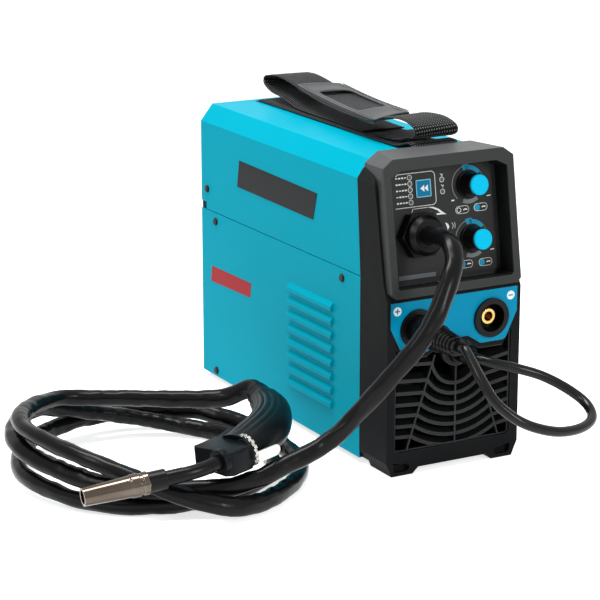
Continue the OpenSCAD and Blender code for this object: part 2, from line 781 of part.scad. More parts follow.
// Hexagon body of the torch gland on the panel, bored for the lead.
gland_hex = 10.5;
gland_len = 20;

module torch_gland() {
    color([0.06, 0.06, 0.07]) on_face(well_d) translate([gland_x, gland_v, 0]) difference() {
        union() {
            cylinder(d = 44, h = gland_hex, $fn = 6);
            translate([0, 0, -panel_t - 14]) cylinder(d = gland_d, h = panel_t + 14, $fn = 64);
        }
        translate([0, 0, -30]) cylinder(d = lead_d + 1, h = 60, $fn = 48);
    }
}

module torch_gland_nut() {
    color([0.08, 0.08, 0.09]) on_face(well_d) translate([gland_x, gland_v, gland_hex]) difference() {
        union() {
            cylinder(d = 36, h = 5, $fn = 64);
            translate([0, 0, 5]) cylinder(d1 = 36, d2 = 29, h = gland_len - gland_hex - 5, $fn = 64);
        }
        translate([0, 0, -1]) cylinder(d = lead_d, h = 30, $fn = 48);
    }
}

// ---- torch -----------------------------------------------------------------

// The torch lies in a slightly tilted plane: local x forward from the head, z up.
torch_at = [-240, -197, 45];
torch_turn = 193.3;
torch_dip = 5.5;
handle_r = 125;
handle_a = 75;
cuff_l = 26;
head_l = 24;
// Sections of the handle from its head to its cuff: how far it reaches towards the
// trigger and away from it, and its thickness.
handle_sections = [[25.5, 13, 27], [25, 15.5, 32], [23, 18, 33], [20, 17.5, 31], [17.5, 16, 27.5],
    [15, 13, 23]];
trigger_gap = 1.5;
neck_d = 13;
neck_r = 70;
neck_bend = 20;
neck_straight = 16;

module torch_frame() {
    translate(torch_at) rotate([0, 0, torch_turn]) rotate([0, torch_dip, 0]) children();
}

// A frame on the handle's curved centre line, s millimetres behind the head's front.
module along_handle(s) {
    translate([0, -handle_r, 0]) rotate([0, 0, s / handle_r * 180 / PI])
        translate([0, handle_r, 0]) children();
}

// Local direction and place to world ones.
function turned(v) = let (a = torch_dip, x = v[0] * cos(a) + v[2] * sin(a),
    z = -v[0] * sin(a) + v[2] * cos(a), b = torch_turn)
    [x * cos(b) - v[1] * sin(b), x * sin(b) + v[1] * cos(b), z];
function handle_rear() = torch_at + turned([-handle_r * sin(handle_a),
    -handle_r * (1 - cos(handle_a)), 0]);
function handle_way() = turned([-cos(handle_a), -sin(handle_a), 0]);

// ---- leads -----------------------------------------------------------------

// Points of a smooth curve through pts, n steps to each span.
function spline(pts, n) = concat([for (i = [0 : len(pts) - 2], j = [0 : n - 1])
    let (t = j / n, a = pts[max(i - 1, 0)], b = pts[i], c = pts[i + 1], d = pts[min(i + 2, len(pts) - 1)])
        0.5 * (2 * b + (c - a) * t + (2 * a - 5 * b + 4 * c - d) * t * t
        + (3 * b - a - 3 * c + d) * t * t * t)], [pts[len(pts) - 1]]);
function unit(v) = v / norm(v);
function tangent(p, i) = unit(p[min(i + 1, len(p) - 1)] - p[max(i - 1, 0)]);
// Carries the side vector n along the path without twist.
function carried(n, t) = unit(n - (n * t) * t);
function sides_along(p, n0) = [for (i = 0, n = carried(n0, tangent(p, 0)); i < len(p);
    i = i + 1, n = i < len(p) ? carried(n, tangent(p, i)) : n) n];
// One closed tube of triangles round the path p, from its station i0 to its station i1.
module tube(p, d, sides, n0, i0, i1) {
    n = sides_along(p, n0);
    m = i1 - i0 + 1;
    pts = [for (i = [i0 : i1], j = [0 : sides - 1]) let (t = tangent(p, i), b = cross(t, n[i]))
        p[i] + d / 2 * (cos(360 * j / sides) * n[i] + sin(360 * j / sides) * b)];
    skin = [for (i = [0 : m - 2], j = [0 : sides - 1]) let (a = i * sides + j,
        b = i * sides + (j + 1) % sides) each [[a, b + sides, b], [a, a + sides, b + sides]]];
    first = [for (j = [1 : sides - 2]) [0, j, j + 1]];
    last = [for (j = [1 : sides - 2]) [(m - 1) * sides, (m - 1) * sides + j + 1, (m - 1) * sides + j]];
    polyhedron(pts, concat(skin, first, last));
}

floor_z = -foot_h;
gland_mouth = [gland_x, face_y, face_z]
    + gland_v * [0, sin(bezel_lean), cos(bezel_lean)]
    + (gland_len - well_d) * [0, -cos(bezel_lean), sin(bezel_lean)];
gland_way = [0, -cos(bezel_lean), sin(bezel_lean)];

// Route of the torch lead from its gland down to the first loop on the floor.
lead_route = [[-26, -213, 211], [-32, -227, 199], [-41, -236, 187], [-51, -241, 172],
    [-62, -244, 155], [-80, -243, 132], [-102, -231, 101], [-118, -215, 74], [-136, -207, 54],
    [-173, -203, 36]];

// Route of the polarity lead from its gland out and round to the plug's boot.
pole_route = [[12, -226, 102], [30, -235, 97], [52, -244, 89], [70, -257, 78], [78, -275, 68],
    [71, -293, 61], [49, -306, 59], [18, -312, 63], [-13, -309, 75], [-32, -297, 92],
    [-38, -281, 111]];

module polarity_lead() {
    a = [hub_x, gland_out - 0.3, gland_z];
    b = [-socket_x, boot_end - 0.3, socket_h];
    p = spline(concat([a, a - [0, 1.5, 0], a - [0, pole_d, 0]], pole_route,
        [b - [0, pole_d, 0], b - [0, 1.5, 0], b]), 3);
    color([0.05, 0.05, 0.05]) tube(p, pole_d, 10, [0, 0, 1], 0, len(p) - 1);
}

// The torch lead's loops on the floor, clockwise round coil_mid from the front. At each
// eighth of a turn: the loop's radius there and the height of its middle over the floor.
coil_mid = [-240, -56];
coil_lie = [[135, 24], [124, 28.5], [128, 43.5], [115, 44.5], [97, 23.5], [94, 9.5], [101, 9],
    [112, 8], [117, 8], [122, 9], [123, 15], [117, 16], [114, 18], [116, 18], [121, 10], [138, 8],
    [155, 14], [133, 50], [124, 61.5], [98, 56], [60, 49.5]];
function coil_eighth(k) = let (a = -90 - 45 * k, r = coil_lie[k][0])
    [coil_mid[0] + r * cos(a), coil_mid[1] + r * sin(a), floor_z + max(lead_d / 2, coil_lie[k][1])];
// The lead's last stretch, from the third loop over to the torch.
tail_route = [[-168, -38, 44]];
steps = 3;
torch_path = let (g = gland_mouth, h = handle_rear()) spline(concat([g, g + lead_d * gland_way],
    lead_route, [for (k = [0 : len(coil_lie) - 1]) coil_eighth(k)], tail_route,
    [h + lead_d * handle_way(), h]), steps);
coil_from = steps * (2 + len(lead_route));
// Least distance of the lead's middle line from its own other turns, less its thickness.
reach = steps * 5;
coil_gap = min([for (i = [coil_from - 2 * steps : len(torch_path) - 1 - reach])
    for (j = [i + reach : len(torch_path) - 1]) norm(torch_path[i] - torch_path[j])]) - lead_d;
echo(coil_gap = coil_gap);

module torch_lead() {
    color([0.05, 0.05, 0.05]) tube(torch_path, lead_d, 10, [1, 0, 0], 0, coil_from);
}

module torch_coil() {
    color([0.05, 0.05, 0.05]) tube(torch_path, lead_d, 6, [1, 0, 0], coil_from, len(torch_path) - 1);
}

module oval_slab(w, t, h) {
    rotate([0, 90, 0]) linear_extrude(h) resize([t, w]) circle(d = 30, $fn = 28);
}

module torch_handle() {
    n = len(handle_sections) - 1;
    handle_l = handle_r * handle_a * PI / 180;
    color([0.07, 0.09, 0.1]) torch_frame() difference() {
        union() {
            for (i = [0 : n - 1]) hull() for (k = [i, i + 1]) let (c = handle_sections[k])
                along_handle(head_l + (handle_l - cuff_l + 8 - head_l) * k / n)
                    translate([-1, (c[1] - c[0]) / 2, 0]) oval_slab(c[0] + c[1], c[2], 1);
            along_handle(handle_l) translate([-2, 0, 0]) rotate([0, 90, 0])
                cylinder(d = lead_d + 5, h = cuff_l - 4, $fn = 48);
        }
        translate([-head_l - 4, -60, -40]) cube([60, 120, 80]);
        along_handle(handle_l) translate([-3, 0, 0]) rotate([0, 90, 0])
            cylinder(d = lead_d + 1.2, h = 11, $fn = 48);
    }
}

// Moulded front block of the torch: clamps the neck and carries the trigger.
trigger_pivot = [-15, -26];
collar_d = 22;

module torch_head() {
    color([0.09, 0.09, 0.1]) torch_frame() difference() {
        union() {
            intersection() {
                translate([0, 0, -12]) linear_extrude(21) polygon([[-head_l, 10], [-12, 12], [-3, 11],
                    [3, 6], [4, -10], [9, -26], [6, -30], [-10, -31], [-20, -30], [-head_l, -22]]);
                along_x(-head_l - 1, 12) polygon([[-33, -9], [-30, -12.5], [10, -12.5], [13, -9.5],
                    [13, 6], [9.5, 9.5], [-28, 9.5], [-33, 5]]);
            }
            translate([-1, 0, 0]) rotate([0, 90, 0]) cylinder(d = collar_d, h = 6, $fn = 48);
            translate([-head_l - 4, 0, 0]) rotate([0, 90, 0]) cylinder(d = ring_d - 0.4, h = 5, $fn = 48);
        }
        translate([-head_l - 6, 0, 0]) rotate([0, 90, 0]) cylinder(d = neck_d, h = 40, $fn = 48);
        translate([-40, -45, -6.5]) cube([36, 25, 13]);
        translate([trigger_pivot[0], trigger_pivot[1], -11]) cylinder(d = 3, h = 19, $fn = 32);
    }
}

module torch_trigger() {
    r = handle_r - handle_sections[0][0] - trigger_gap;
    blade_a = 21.6;
    color([0.12, 0.12, 0.12]) torch_frame() {
        translate([trigger_pivot[0], trigger_pivot[1], -10]) cylinder(d = 2.9, h = 17, $fn = 32);
        translate([trigger_pivot[0], trigger_pivot[1], -6.2]) cylinder(d = 8, h = 12.4, $fn = 32);
        translate([0, -handle_r, 0]) rotate([0, 0, 90 - trigger_pivot[0] / handle_r * 180 / PI])
            rotate_extrude(angle = blade_a, $fn = 180) translate([r - 4.5, -5.8]) square([4.5, 11.6]);
    }
}

// Hook of spring steel: a serrated ring round the head's rear flange and a leaf beside it.
ring_d = 24;

module torch_hanger() {
    x = -head_l - 3.5;
    y = ring_d / 2 + 3;
    color("silver") torch_frame() {
        difference() {
            translate([x, 0, 0]) rotate([0, 90, 0]) cylinder(d = ring_d + 4, h = 3, $fn = 48);
            translate([x - 2, 0, 0]) rotate([0, 90, 0]) cylinder(d = ring_d, h = 7, $fn = 48);
        }
        for (a = [-30 : 20 : 130]) rotate([a, 0, 0])
            translate([x, ring_d / 2 + 1.4, -1.4]) cube([3, 2, 2.8]);
        translate([x, ring_d / 2 + 0.5, -6]) cube([1.4, y + 0.9 - ring_d / 2, 10]);
        translate([x - 18, y, -6]) cube([19.4, 1.4, 10]);
        translate([x - 18, y + 1.4, -1]) rotate([90, 0, 0]) cylinder(d = 10, h = 1.4, $fn = 32);
    }
}

module torch_neck() {
    color([0.06, 0.06, 0.06]) torch_frame() {
        translate([-head_l, 0, 0]) rotate([0, 90, 0])
            cylinder(d = neck_d, h = head_l + neck_straight, $fn = 48);
        translate([neck_straight, -neck_r, 0]) rotate([0, 0, 89.5 - neck_bend])
            rotate_extrude(angle = neck_bend + 1, $fn = 96) translate([neck_r, 0])
                circle(d = neck_d - 0.6, $fn = 48);
        neck_end() rotate([0, 90, 0]) cylinder(d = neck_d, h = neck_straight, $fn = 48);
    }
}

// Frame at the end of the neck's bend, x along the nozzle.
module neck_end() {
    translate([neck_straight, -neck_r, 0]) rotate([0, 0, -neck_bend]) translate([0, neck_r, 0]) children();
}

insulator_l = 15;
nozzle_l = 57;
nozzle_mouth = 15.5;
nozzle_root = 20;

module torch_insulator() {
    color([0.05, 0.05, 0.05]) torch_frame() neck_end() translate([neck_straight, 0, 0])
        rotate([0, 90, 0]) cylinder(d = 17.5, h = insulator_l, $fn = 48);
}

module torch_nozzle() {
    color([0.75, 0.68, 0.6]) torch_frame() neck_end() translate([neck_straight + insulator_l, 0, 0])
        rotate([0, 90, 0]) difference() {
            rotate_extrude($fn = 64) polygon([[0, 0], [nozzle_root / 2 - 0.8, 0], [nozzle_root / 2, 1],
                [nozzle_root / 2, 5], [nozzle_root / 2 - 0.8, 5.5], [nozzle_root / 2 - 0.8, 8],
                [nozzle_root / 2, 8.5], [nozzle_root / 2, 15], [nozzle_root / 2 - 0.6, 16.5],
                [nozzle_mouth / 2, nozzle_l], [0, nozzle_l]]);
            translate([0, 0, 10]) cylinder(d = 12, h = nozzle_l, $fn = 48);
        }
}

module contact_tip() {
    color([0.8, 0.5, 0.35]) torch_frame() neck_end() translate([neck_straight + insulator_l + 10, 0, 0])
        rotate([0, 90, 0]) difference() {
            union() {
                cylinder(d = 9, h = 16, $fn = 32);
                translate([0, 0, 16]) cylinder(d = 6, h = nozzle_l - 30, $fn = 32);
            }
            translate([0, 0, 20]) cylinder(d = 1, h = nozzle_l, $fn = 24);
        }
}

// ---- carrying strap --------------------------------------------------------

// A band of thickness t that follows the side view path p, from the outer side inwards.
function band_side(p, t, s) = [for (i = [0 : len(p) - 1]) let (
    a = i > 0 ? unit(p[i] - p[i - 1]) : unit(p[1] - p[0]),
    b = i < len(p) - 1 ? unit(p[i + 1] - p[i]) : a,
    m = unit(a + b), k = 1 / max(0.5, m * a)) p[i] + s * t / 2 * k * [-m[1], m[0]]];
function reversed(p) = [for (i = [len(p) - 1 : -1 : 0]) p[i]];
module band(p, t, x, w) {
    along_x(x - w / 2, x + w / 2) polygon(concat(band_side(p, t, 1), reversed(band_side(p, t, -1))));
}

top_z = case_h + 0.4 + strap_t / 2;

module strap_base() {
    y0 = anchor_y0;
    y1 = anchor_y1;
    color([0.06, 0.06, 0.06]) band([[y1, case_h - 8], [y1, case_h - 1.5], [y1 - 1.2, top_z - 0.9],
        [y1 - 3.5, top_z], [y0 + 3.5, top_z], [y0 + 1.2, top_z - 0.9], [y0, case_h - 1.5],
        [y0, case_h - 8]], strap_t, strap_x - 2, strap_w - 2);
}

module strap_web() {
    z = top_z + strap_t + 0.6;
    color([0.1, 0.1, 0.1])
        band(spline([[-100, z], [-116, z + 0.5], [-126, z + 4], [-129, z + 11], [-119, z + 17],
            [-98, z + 19], [-50, z + 16], [0, z + 18], [60, z + 22], [110, z + 25], [140, z + 25],
            [160, z + 20], [164, z + 12], [153, z + 5], [132, z + 1], [112, z]], 3),
            strap_t, strap_x, strap_w - 4);
}

module strap_pad() {
    z = top_z + strap_t + 0.6;
    color([0.13, 0.13, 0.14]) difference() {
        band([[-66, z + 13.2], [-50, z + 13], [0, z + 15], [60, z + 19], [108, z + 22]],
            1.6, strap_x, strap_w - 6);
    }
}

// ---- rear and inside -------------------------------------------------------

module fan_frame() {
    y1 = panel_y;
    color([0.1, 0.1, 0.1]) difference() {
        translate([-fan_w / 2, y1 - fan_t, fan_z - fan_w / 2]) cube([fan_w, fan_t, fan_w]);
        bar_y(0, fan_z, y1 - fan_t - 1, y1 + 1, fan_hole);
    }
    color([0.1, 0.1, 0.1]) difference() {
        for (a = [45, 135]) translate([0, y1 - fan_t + 2, fan_z]) rotate([0, a, 0])
            cube([fan_hole + 2, 4, 6], center = true);
        bar_y(0, fan_z, y1 - fan_t - 1, y1 - fan_t + 5, 5.1);
    }
}

module fan_rotor() {
    y0 = panel_y - fan_t + 4.5;
    color([0.15, 0.15, 0.15]) {
        bar_y(0, fan_z, y0 - 4, y0, 5);
        bar_y(0, fan_z, y0, y0 + 18, 40);
        for (a = [0 : 360 / 7 : 359]) translate([0, y0 + 9, fan_z]) rotate([0, a, 0])
            translate([18, 0, 0]) rotate([35, 0, 0]) translate([0, -9, -1]) cube([fan_hole / 2 - 21, 18, 2]);
    }
}

module switch_housing() {
    color([0.08, 0.08, 0.08]) difference() {
        union() {
            translate([-38, panel_y - 18, 200]) cube([22, 18 + sheet, 28]);
            translate([-40, rear_y, 198]) cube([26, 2, 32]);
        }
        translate([-36.5, rear_y - 8, 201.5]) cube([19, 14, 25]);
        bar_x(rear_y - 2, 214, -39, -15, 3.1);
    }
}

module power_rocker() {
    color([0.5, 0.08, 0.06]) {
        bar_x(rear_y - 2, 214, -38.5, -15.5, 3);
        along_x(-36, -18) polygon([[rear_y - 4, 211], [rear_y + 2, 203], [rear_y + 5.5, 204],
            [rear_y + 3, 214], [rear_y + 1, 224], [rear_y - 2.5, 225], [rear_y - 5, 217]]);
    }
}

module mains_gland() {
    color([0.08, 0.08, 0.08]) difference() {
        union() {
            translate([30, rear_y, 214]) rotate([-90, 0, 0]) cylinder(d = 28, h = 7, $fn = 6);
            bar_y(30, 214, rear_y + 7, rear_y + 20, 20);
            bar_y(30, 214, panel_y - 12, rear_y, 19.8);
        }
        bar_y(30, 214, panel_y - 20, rear_y + 30, 11);
    }
}

module gas_inlet() {
    color("gold") difference() {
        union() {
            translate([30, rear_y, 180]) rotate([-90, 0, 0]) cylinder(d = 15, h = 5, $fn = 6);
            bar_y(30, 180, panel_y - 10, rear_y, 9.8);
            for (i = [0 : 2]) translate([30, rear_y + 5 + 5 * i, 180]) rotate([-90, 0, 0])
                cylinder(d1 = 8.5, d2 = 6.5, h = 5, $fn = 32);
        }
        bar_y(30, 180, panel_y - 20, rear_y + 30, 4);
    }
}

module deck() {
    color("silver") {
        difference() {
            translate([-inner, case_y + 4, deck_h - sheet]) cube([2 * inner, panel_y - case_y - 4, sheet]);
            for (s = [0, 1], y = screw_y) mirror([s, 0, 0]) bar_x(y, screw_h, inner - 4, hw, 4.4);
        }
        for (s = [-1, 1]) translate([s * (inner - sheet / 2) - sheet / 2, case_y + 50, deck_h - 14])
            cube([sheet, 180, 14 - sheet]);
    }
}

feed_x = gland_x;
plate_x = feed_x - 12;
hub_at = [66, deck_h + spool_d / 2 + 4];
wire_z = deck_h + 46;
drive_at = [-62, wire_z - roller_d / 2 - 0.45];
idler_at = [-62, wire_z + idler_d / 2 + 0.45];
arm_pivot = [-32, wire_z + 14];

module feed_plate() {
    color("silver") {
        difference() {
            translate([plate_x - 3, -100, deck_h]) cube([3, 220, 95]);
            bar_x(drive_at[0], drive_at[1], plate_x - 4, plate_x + 1, 10);
        }
        translate([plate_x - 15, -100, deck_h]) cube([12, 220, 2]);
        bar_x(arm_pivot[0], arm_pivot[1], plate_x, plate_x + 14, 6);
    }
}

module spool_hub() {
    color([0.15, 0.15, 0.16]) {
        bar_x(hub_at[0], hub_at[1], plate_x, plate_x + 6, 34);
        bar_x(hub_at[0], hub_at[1], plate_x + 6, plate_x + 8 + spool_w, hub_d);
        bar_x(hub_at[0], hub_at[1], plate_x + 8 + spool_w, plate_x + 15 + spool_w, 9.8);
    }
}

module hub_nut() {
    color([0.2, 0.2, 0.2]) difference() {
        union() {
            bar_x(hub_at[0], hub_at[1], plate_x + 8 + spool_w, plate_x + 12 + spool_w, hub_d + 14);
            bar_x(hub_at[0], hub_at[1], plate_x + 12 + spool_w, plate_x + 19 + spool_w, hub_d + 4);
            translate([plate_x + 12 + spool_w, hub_at[0] - 14, hub_at[1] - 3]) cube([7, 28, 6]);
        }
        bar_x(hub_at[0], hub_at[1], plate_x, plate_x + 16 + spool_w, 10);
    }
}

module wire_spool() {
    x0 = plate_x + 7;
    color([0.2, 0.2, 0.22]) difference() {
        union() {
            bar_x(hub_at[0], hub_at[1], x0, x0 + 3, spool_d);
            bar_x(hub_at[0], hub_at[1], x0 + 3, x0 + spool_w - 3, spool_d - 16);
            bar_x(hub_at[0], hub_at[1], x0 + spool_w - 3, x0 + spool_w, spool_d);
        }
        bar_x(hub_at[0], hub_at[1], x0 - 1, x0 + spool_w + 1, hub_d + 2 * fit);
    }
}

module feed_motor() {
    color([0.3, 0.3, 0.32]) difference() {
        union() {
            bar_x(drive_at[0], drive_at[1], plate_x - 27, plate_x - 3, 42);
            bar_x(drive_at[0], drive_at[1], plate_x - 3, plate_x, 9.9);
        }
        bar_x(drive_at[0], drive_at[1], plate_x - 20, plate_x + 5, 6 + 2 * fit);
    }
}

module drive_roller() {
    color("silver") {
        bar_x(drive_at[0], drive_at[1], plate_x - 18, feed_x + 9, 6);
        difference() {
            bar_x(drive_at[0], drive_at[1], feed_x - 5, feed_x + 5, roller_d);
            translate([feed_x, drive_at[0], drive_at[1]]) rotate([0, 90, 0]) rotate_extrude($fn = 64)
                translate([roller_d / 2, 0]) circle(r = 0.6, $fn = 12);
        }
    }
}

module pressure_arm() {
    color([0.12, 0.12, 0.13]) difference() {
        union() {
            hull() {
                bar_x(arm_pivot[0], arm_pivot[1], feed_x - 11.5, feed_x - 6.5, 14);
                bar_x(idler_at[0], idler_at[1], feed_x - 11.5, feed_x - 6.5, 14);
            }
            bar_x(idler_at[0], idler_at[1], feed_x - 6.5, feed_x + 7, 6);
            translate([feed_x - 7, idler_at[0], idler_at[1] + 5]) cylinder(d = 3.6, h = 14, $fn = 24);
            translate([feed_x - 7, idler_at[0], idler_at[1] + 18]) cylinder(d = 9, h = 14, $fn = 24);
        }
        bar_x(arm_pivot[0], arm_pivot[1], feed_x - 13, feed_x, 6 + 2 * fit);
    }
}

module pressure_roller() {
    color("silver") difference() {
        bar_x(idler_at[0], idler_at[1], feed_x - 5, feed_x + 5, idler_d);
        bar_x(idler_at[0], idler_at[1], feed_x - 6, feed_x + 6, 6 + 2 * fit);
    }
}

module power_board() {
    y0 = -110;
    color([0.1, 0.35, 0.2]) {
        translate([-58, y0, 12]) cube([116, 120, 1.6]);
        for (x = [-52, 52], y = [y0 + 6, y0 + 114]) translate([x, y, sheet])
            cylinder(d = 6, h = 12 - sheet, $fn = 24);
    }
    color("silver") for (s = [-1, 1]) translate([s * 34 - 20, y0 + 10, 13.6]) {
        cube([40, 90, 6]);
        for (i = [0 : 8]) translate([i * 4.8, 0, 6]) cube([1.6, 90, 34]);
    }
    color([0.1, 0.1, 0.3]) for (y = [y0 + 20, y0 + 50, y0 + 80]) translate([0, y, 13.6])
        cylinder(d = 24, h = 40, $fn = 32);
}

module transformer() {
    color([0.55, 0.4, 0.2]) {
        translate([-32, 52, sheet]) cube([64, 54, 22]);
        translate([-32, 52, sheet + 52]) cube([64, 54, 22]);
        translate([-22, 57, sheet + 22]) cube([44, 44, 30]);
    }
}

base_pan();
rear_feet();
side_panel_left();
side_panel_right();
hood();
rear_panel();
case_screws();
door();
door_hinges();
front_fascia();
front_grille();
bezel();
control_panel();
socket_plate();
lamp_lenses();
mode_button();
knob_upper();
knob_upper_cap();
knob_lower();
knob_lower_cap();
minus_socket_body();
minus_socket_brass();
plus_socket_body();
plus_socket_brass();
torch_gland();
torch_gland_nut();
lead_gland();
polarity_lead();
polarity_plug();
polarity_boot();
torch_lead();
torch_coil();
torch_handle();
torch_head();
torch_trigger();
torch_hanger();
torch_neck();
torch_insulator();
torch_nozzle();
contact_tip();
strap_web();
strap_base();
strap_pad();
fan_frame();
fan_rotor();
switch_housing();
power_rocker();
mains_gland();
gas_inlet();
deck();
feed_plate();
spool_hub();
hub_nut();
wire_spool();
feed_motor();
drive_roller();
pressure_arm();
pressure_roller();
power_board();
transformer();
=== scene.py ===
"""Looks of a portable MIG welder with its torch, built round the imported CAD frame."""
import json
import math

import bmesh
import bpy
from mathutils import Matrix, Vector, noise


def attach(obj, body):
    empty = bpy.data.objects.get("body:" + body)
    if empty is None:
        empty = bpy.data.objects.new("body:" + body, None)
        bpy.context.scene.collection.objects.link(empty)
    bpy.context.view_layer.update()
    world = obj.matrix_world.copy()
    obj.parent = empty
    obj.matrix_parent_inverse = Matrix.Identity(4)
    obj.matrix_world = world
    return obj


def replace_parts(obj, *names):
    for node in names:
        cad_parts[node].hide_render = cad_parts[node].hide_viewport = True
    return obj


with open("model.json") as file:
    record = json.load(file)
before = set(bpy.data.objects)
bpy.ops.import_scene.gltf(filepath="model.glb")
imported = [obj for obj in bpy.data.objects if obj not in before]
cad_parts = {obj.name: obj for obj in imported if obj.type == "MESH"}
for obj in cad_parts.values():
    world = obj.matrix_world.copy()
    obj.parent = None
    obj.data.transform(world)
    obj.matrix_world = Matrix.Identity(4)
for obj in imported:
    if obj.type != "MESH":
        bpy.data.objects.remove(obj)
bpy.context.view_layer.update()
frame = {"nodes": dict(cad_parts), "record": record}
nodes = frame["nodes"]

# ---------------------------------------------------------------- sizes, in millimetres of the CAD frame
MM = 0.001
FLOOR = -5.5
FRONT_Y = -181.0
LEFT_X = -70.0
# The leaning control face: its lean, its outward and upward directions, a point of its front plane,
# and the depth of the well that holds the control panel.
LEAN = math.radians(9.1)
WAY = Vector((0, -math.cos(LEAN), math.sin(LEAN)))
UP = Vector((0, math.sin(LEAN), math.cos(LEAN)))
FACE = Vector((0, -185.7, 159.5))
WELL = 20.7
# Where the torch lies: its head, its turn and dip in degrees, and the radius and the arc in degrees of the
# handle's middle line.
TORCH_AT = Vector((-240, -197, 45))
TORCH_TURN, TORCH_DIP = 193.3, 5.5
HANDLE_R, HANDLE_ARC = 125.0, 75.0
# Diameters of the torch lead and of the polarity lead, and how far a lead's end sits in its holder.
LEAD_D, POLE_D = 16.5, 9.0
END_IN = 6
# Regions in the shade, each as slabs (direction, from, to) in metres.
HOUSING = (((1, 0, 0), -0.0691, 0.0691), ((0, 1, 0), -0.5, 0.1795), ((0, 0, 1), 0.0012, 0.252))
RECESS = (((1, 0, 0), -0.0611, 0.0611),
          (tuple(UP), (FACE.dot(UP) + 6.9) * MM, (FACE.dot(UP) + 112.2) * MM),
          (tuple(WAY), -1.0, (FACE.dot(WAY) - 1.6) * MM))
BEHIND_BLADES = (((0, 1, 0), -0.1786, 0.2),)

# ---------------------------------------------------------------- camera, solved from points of the case
CAMERA_AT = (-1.053131, -1.805896, 0.678461)
CAMERA_DOWN, CAMERA_TURN = 0.267, -0.504
cam = bpy.data.objects.new("camera", bpy.data.cameras.new("camera"))
bpy.context.scene.collection.objects.link(cam)
cam.location = CAMERA_AT
cam.rotation_euler = (math.pi / 2 - CAMERA_DOWN, 0.0, CAMERA_TURN)
cam.data.sensor_width = 36.0
cam.data.lens = 135.526
cam.data.clip_start, cam.data.clip_end = 0.05, 30
bpy.context.scene.camera = cam


# ---------------------------------------------------------------- shader helpers
def feed(t, socket, value):
    """Links the socket to another one, or sets it to a value."""
    if isinstance(value, bpy.types.NodeSocket):
        t.links.new(value, socket)
    else:
        socket.default_value = value


def node(t, kind, **at):
    """A new shader node: in_Scale=3 feeds its input Scale, and other names are the node's own settings."""
    n = t.nodes.new(kind)
    for k, v in at.items():
        if not k.startswith("in_"):
            setattr(n, k, v)
    for k, v in at.items():
        if k.startswith("in_"):
            feed(t, n.inputs[k[3:].replace("_", " ")], v)
    return n


def maths(t, operation, *values):
    """What a maths node gives for sockets or numbers."""
    n = node(t, "ShaderNodeMath", operation=operation)
    for socket, value in zip(n.inputs, values):
        feed(t, socket, value)
    return n.outputs[0]


def dot_product(t, one, two):
    n = node(t, "ShaderNodeVectorMath", operation="DOT_PRODUCT")
    feed(t, n.inputs[0], one)
    feed(t, n.inputs[1], two)
    return n.outputs["Value"]


def blend_to(t, colour, fac, other, **kind):
    """The colour mixed with a constant one by the factor's socket."""
    return node(t, "ShaderNodeMix", data_type="RGBA", in_A=colour, in_B=(*other, 1), in_Factor=fac,
                **kind).outputs["Result"]


def shaded_inside(t, place, colour, keep, slabs):
    """The colour, dark wherever the point lies between all the slabs."""
    tests = []
    for way, low, high in slabs:
        along = dot_product(t, place, way)
        tests += [maths(t, "GREATER_THAN", along, low), maths(t, "LESS_THAN", along, high)]
    fac = tests[0]
    for test in tests[1:]:
        fac = maths(t, "MULTIPLY", fac, test)
    return blend_to(t, colour, fac, (keep, keep, keep), blend_type="MULTIPLY")


# Pale grey painted on faces that look up, as light from above.
TOP_LIGHT_GREY = (0.35, 0.35, 0.36)
GRAIN_DEEP = 0.0002
# Between these cosines of the rounded normal with the true one an edge goes from bare to its full edge
# colour, which stands for edge wear and a painted highlight.
EDGE_WEAR_GLINT_FROM, EDGE_WEAR_GLINT_TO = 0.995, 0.86


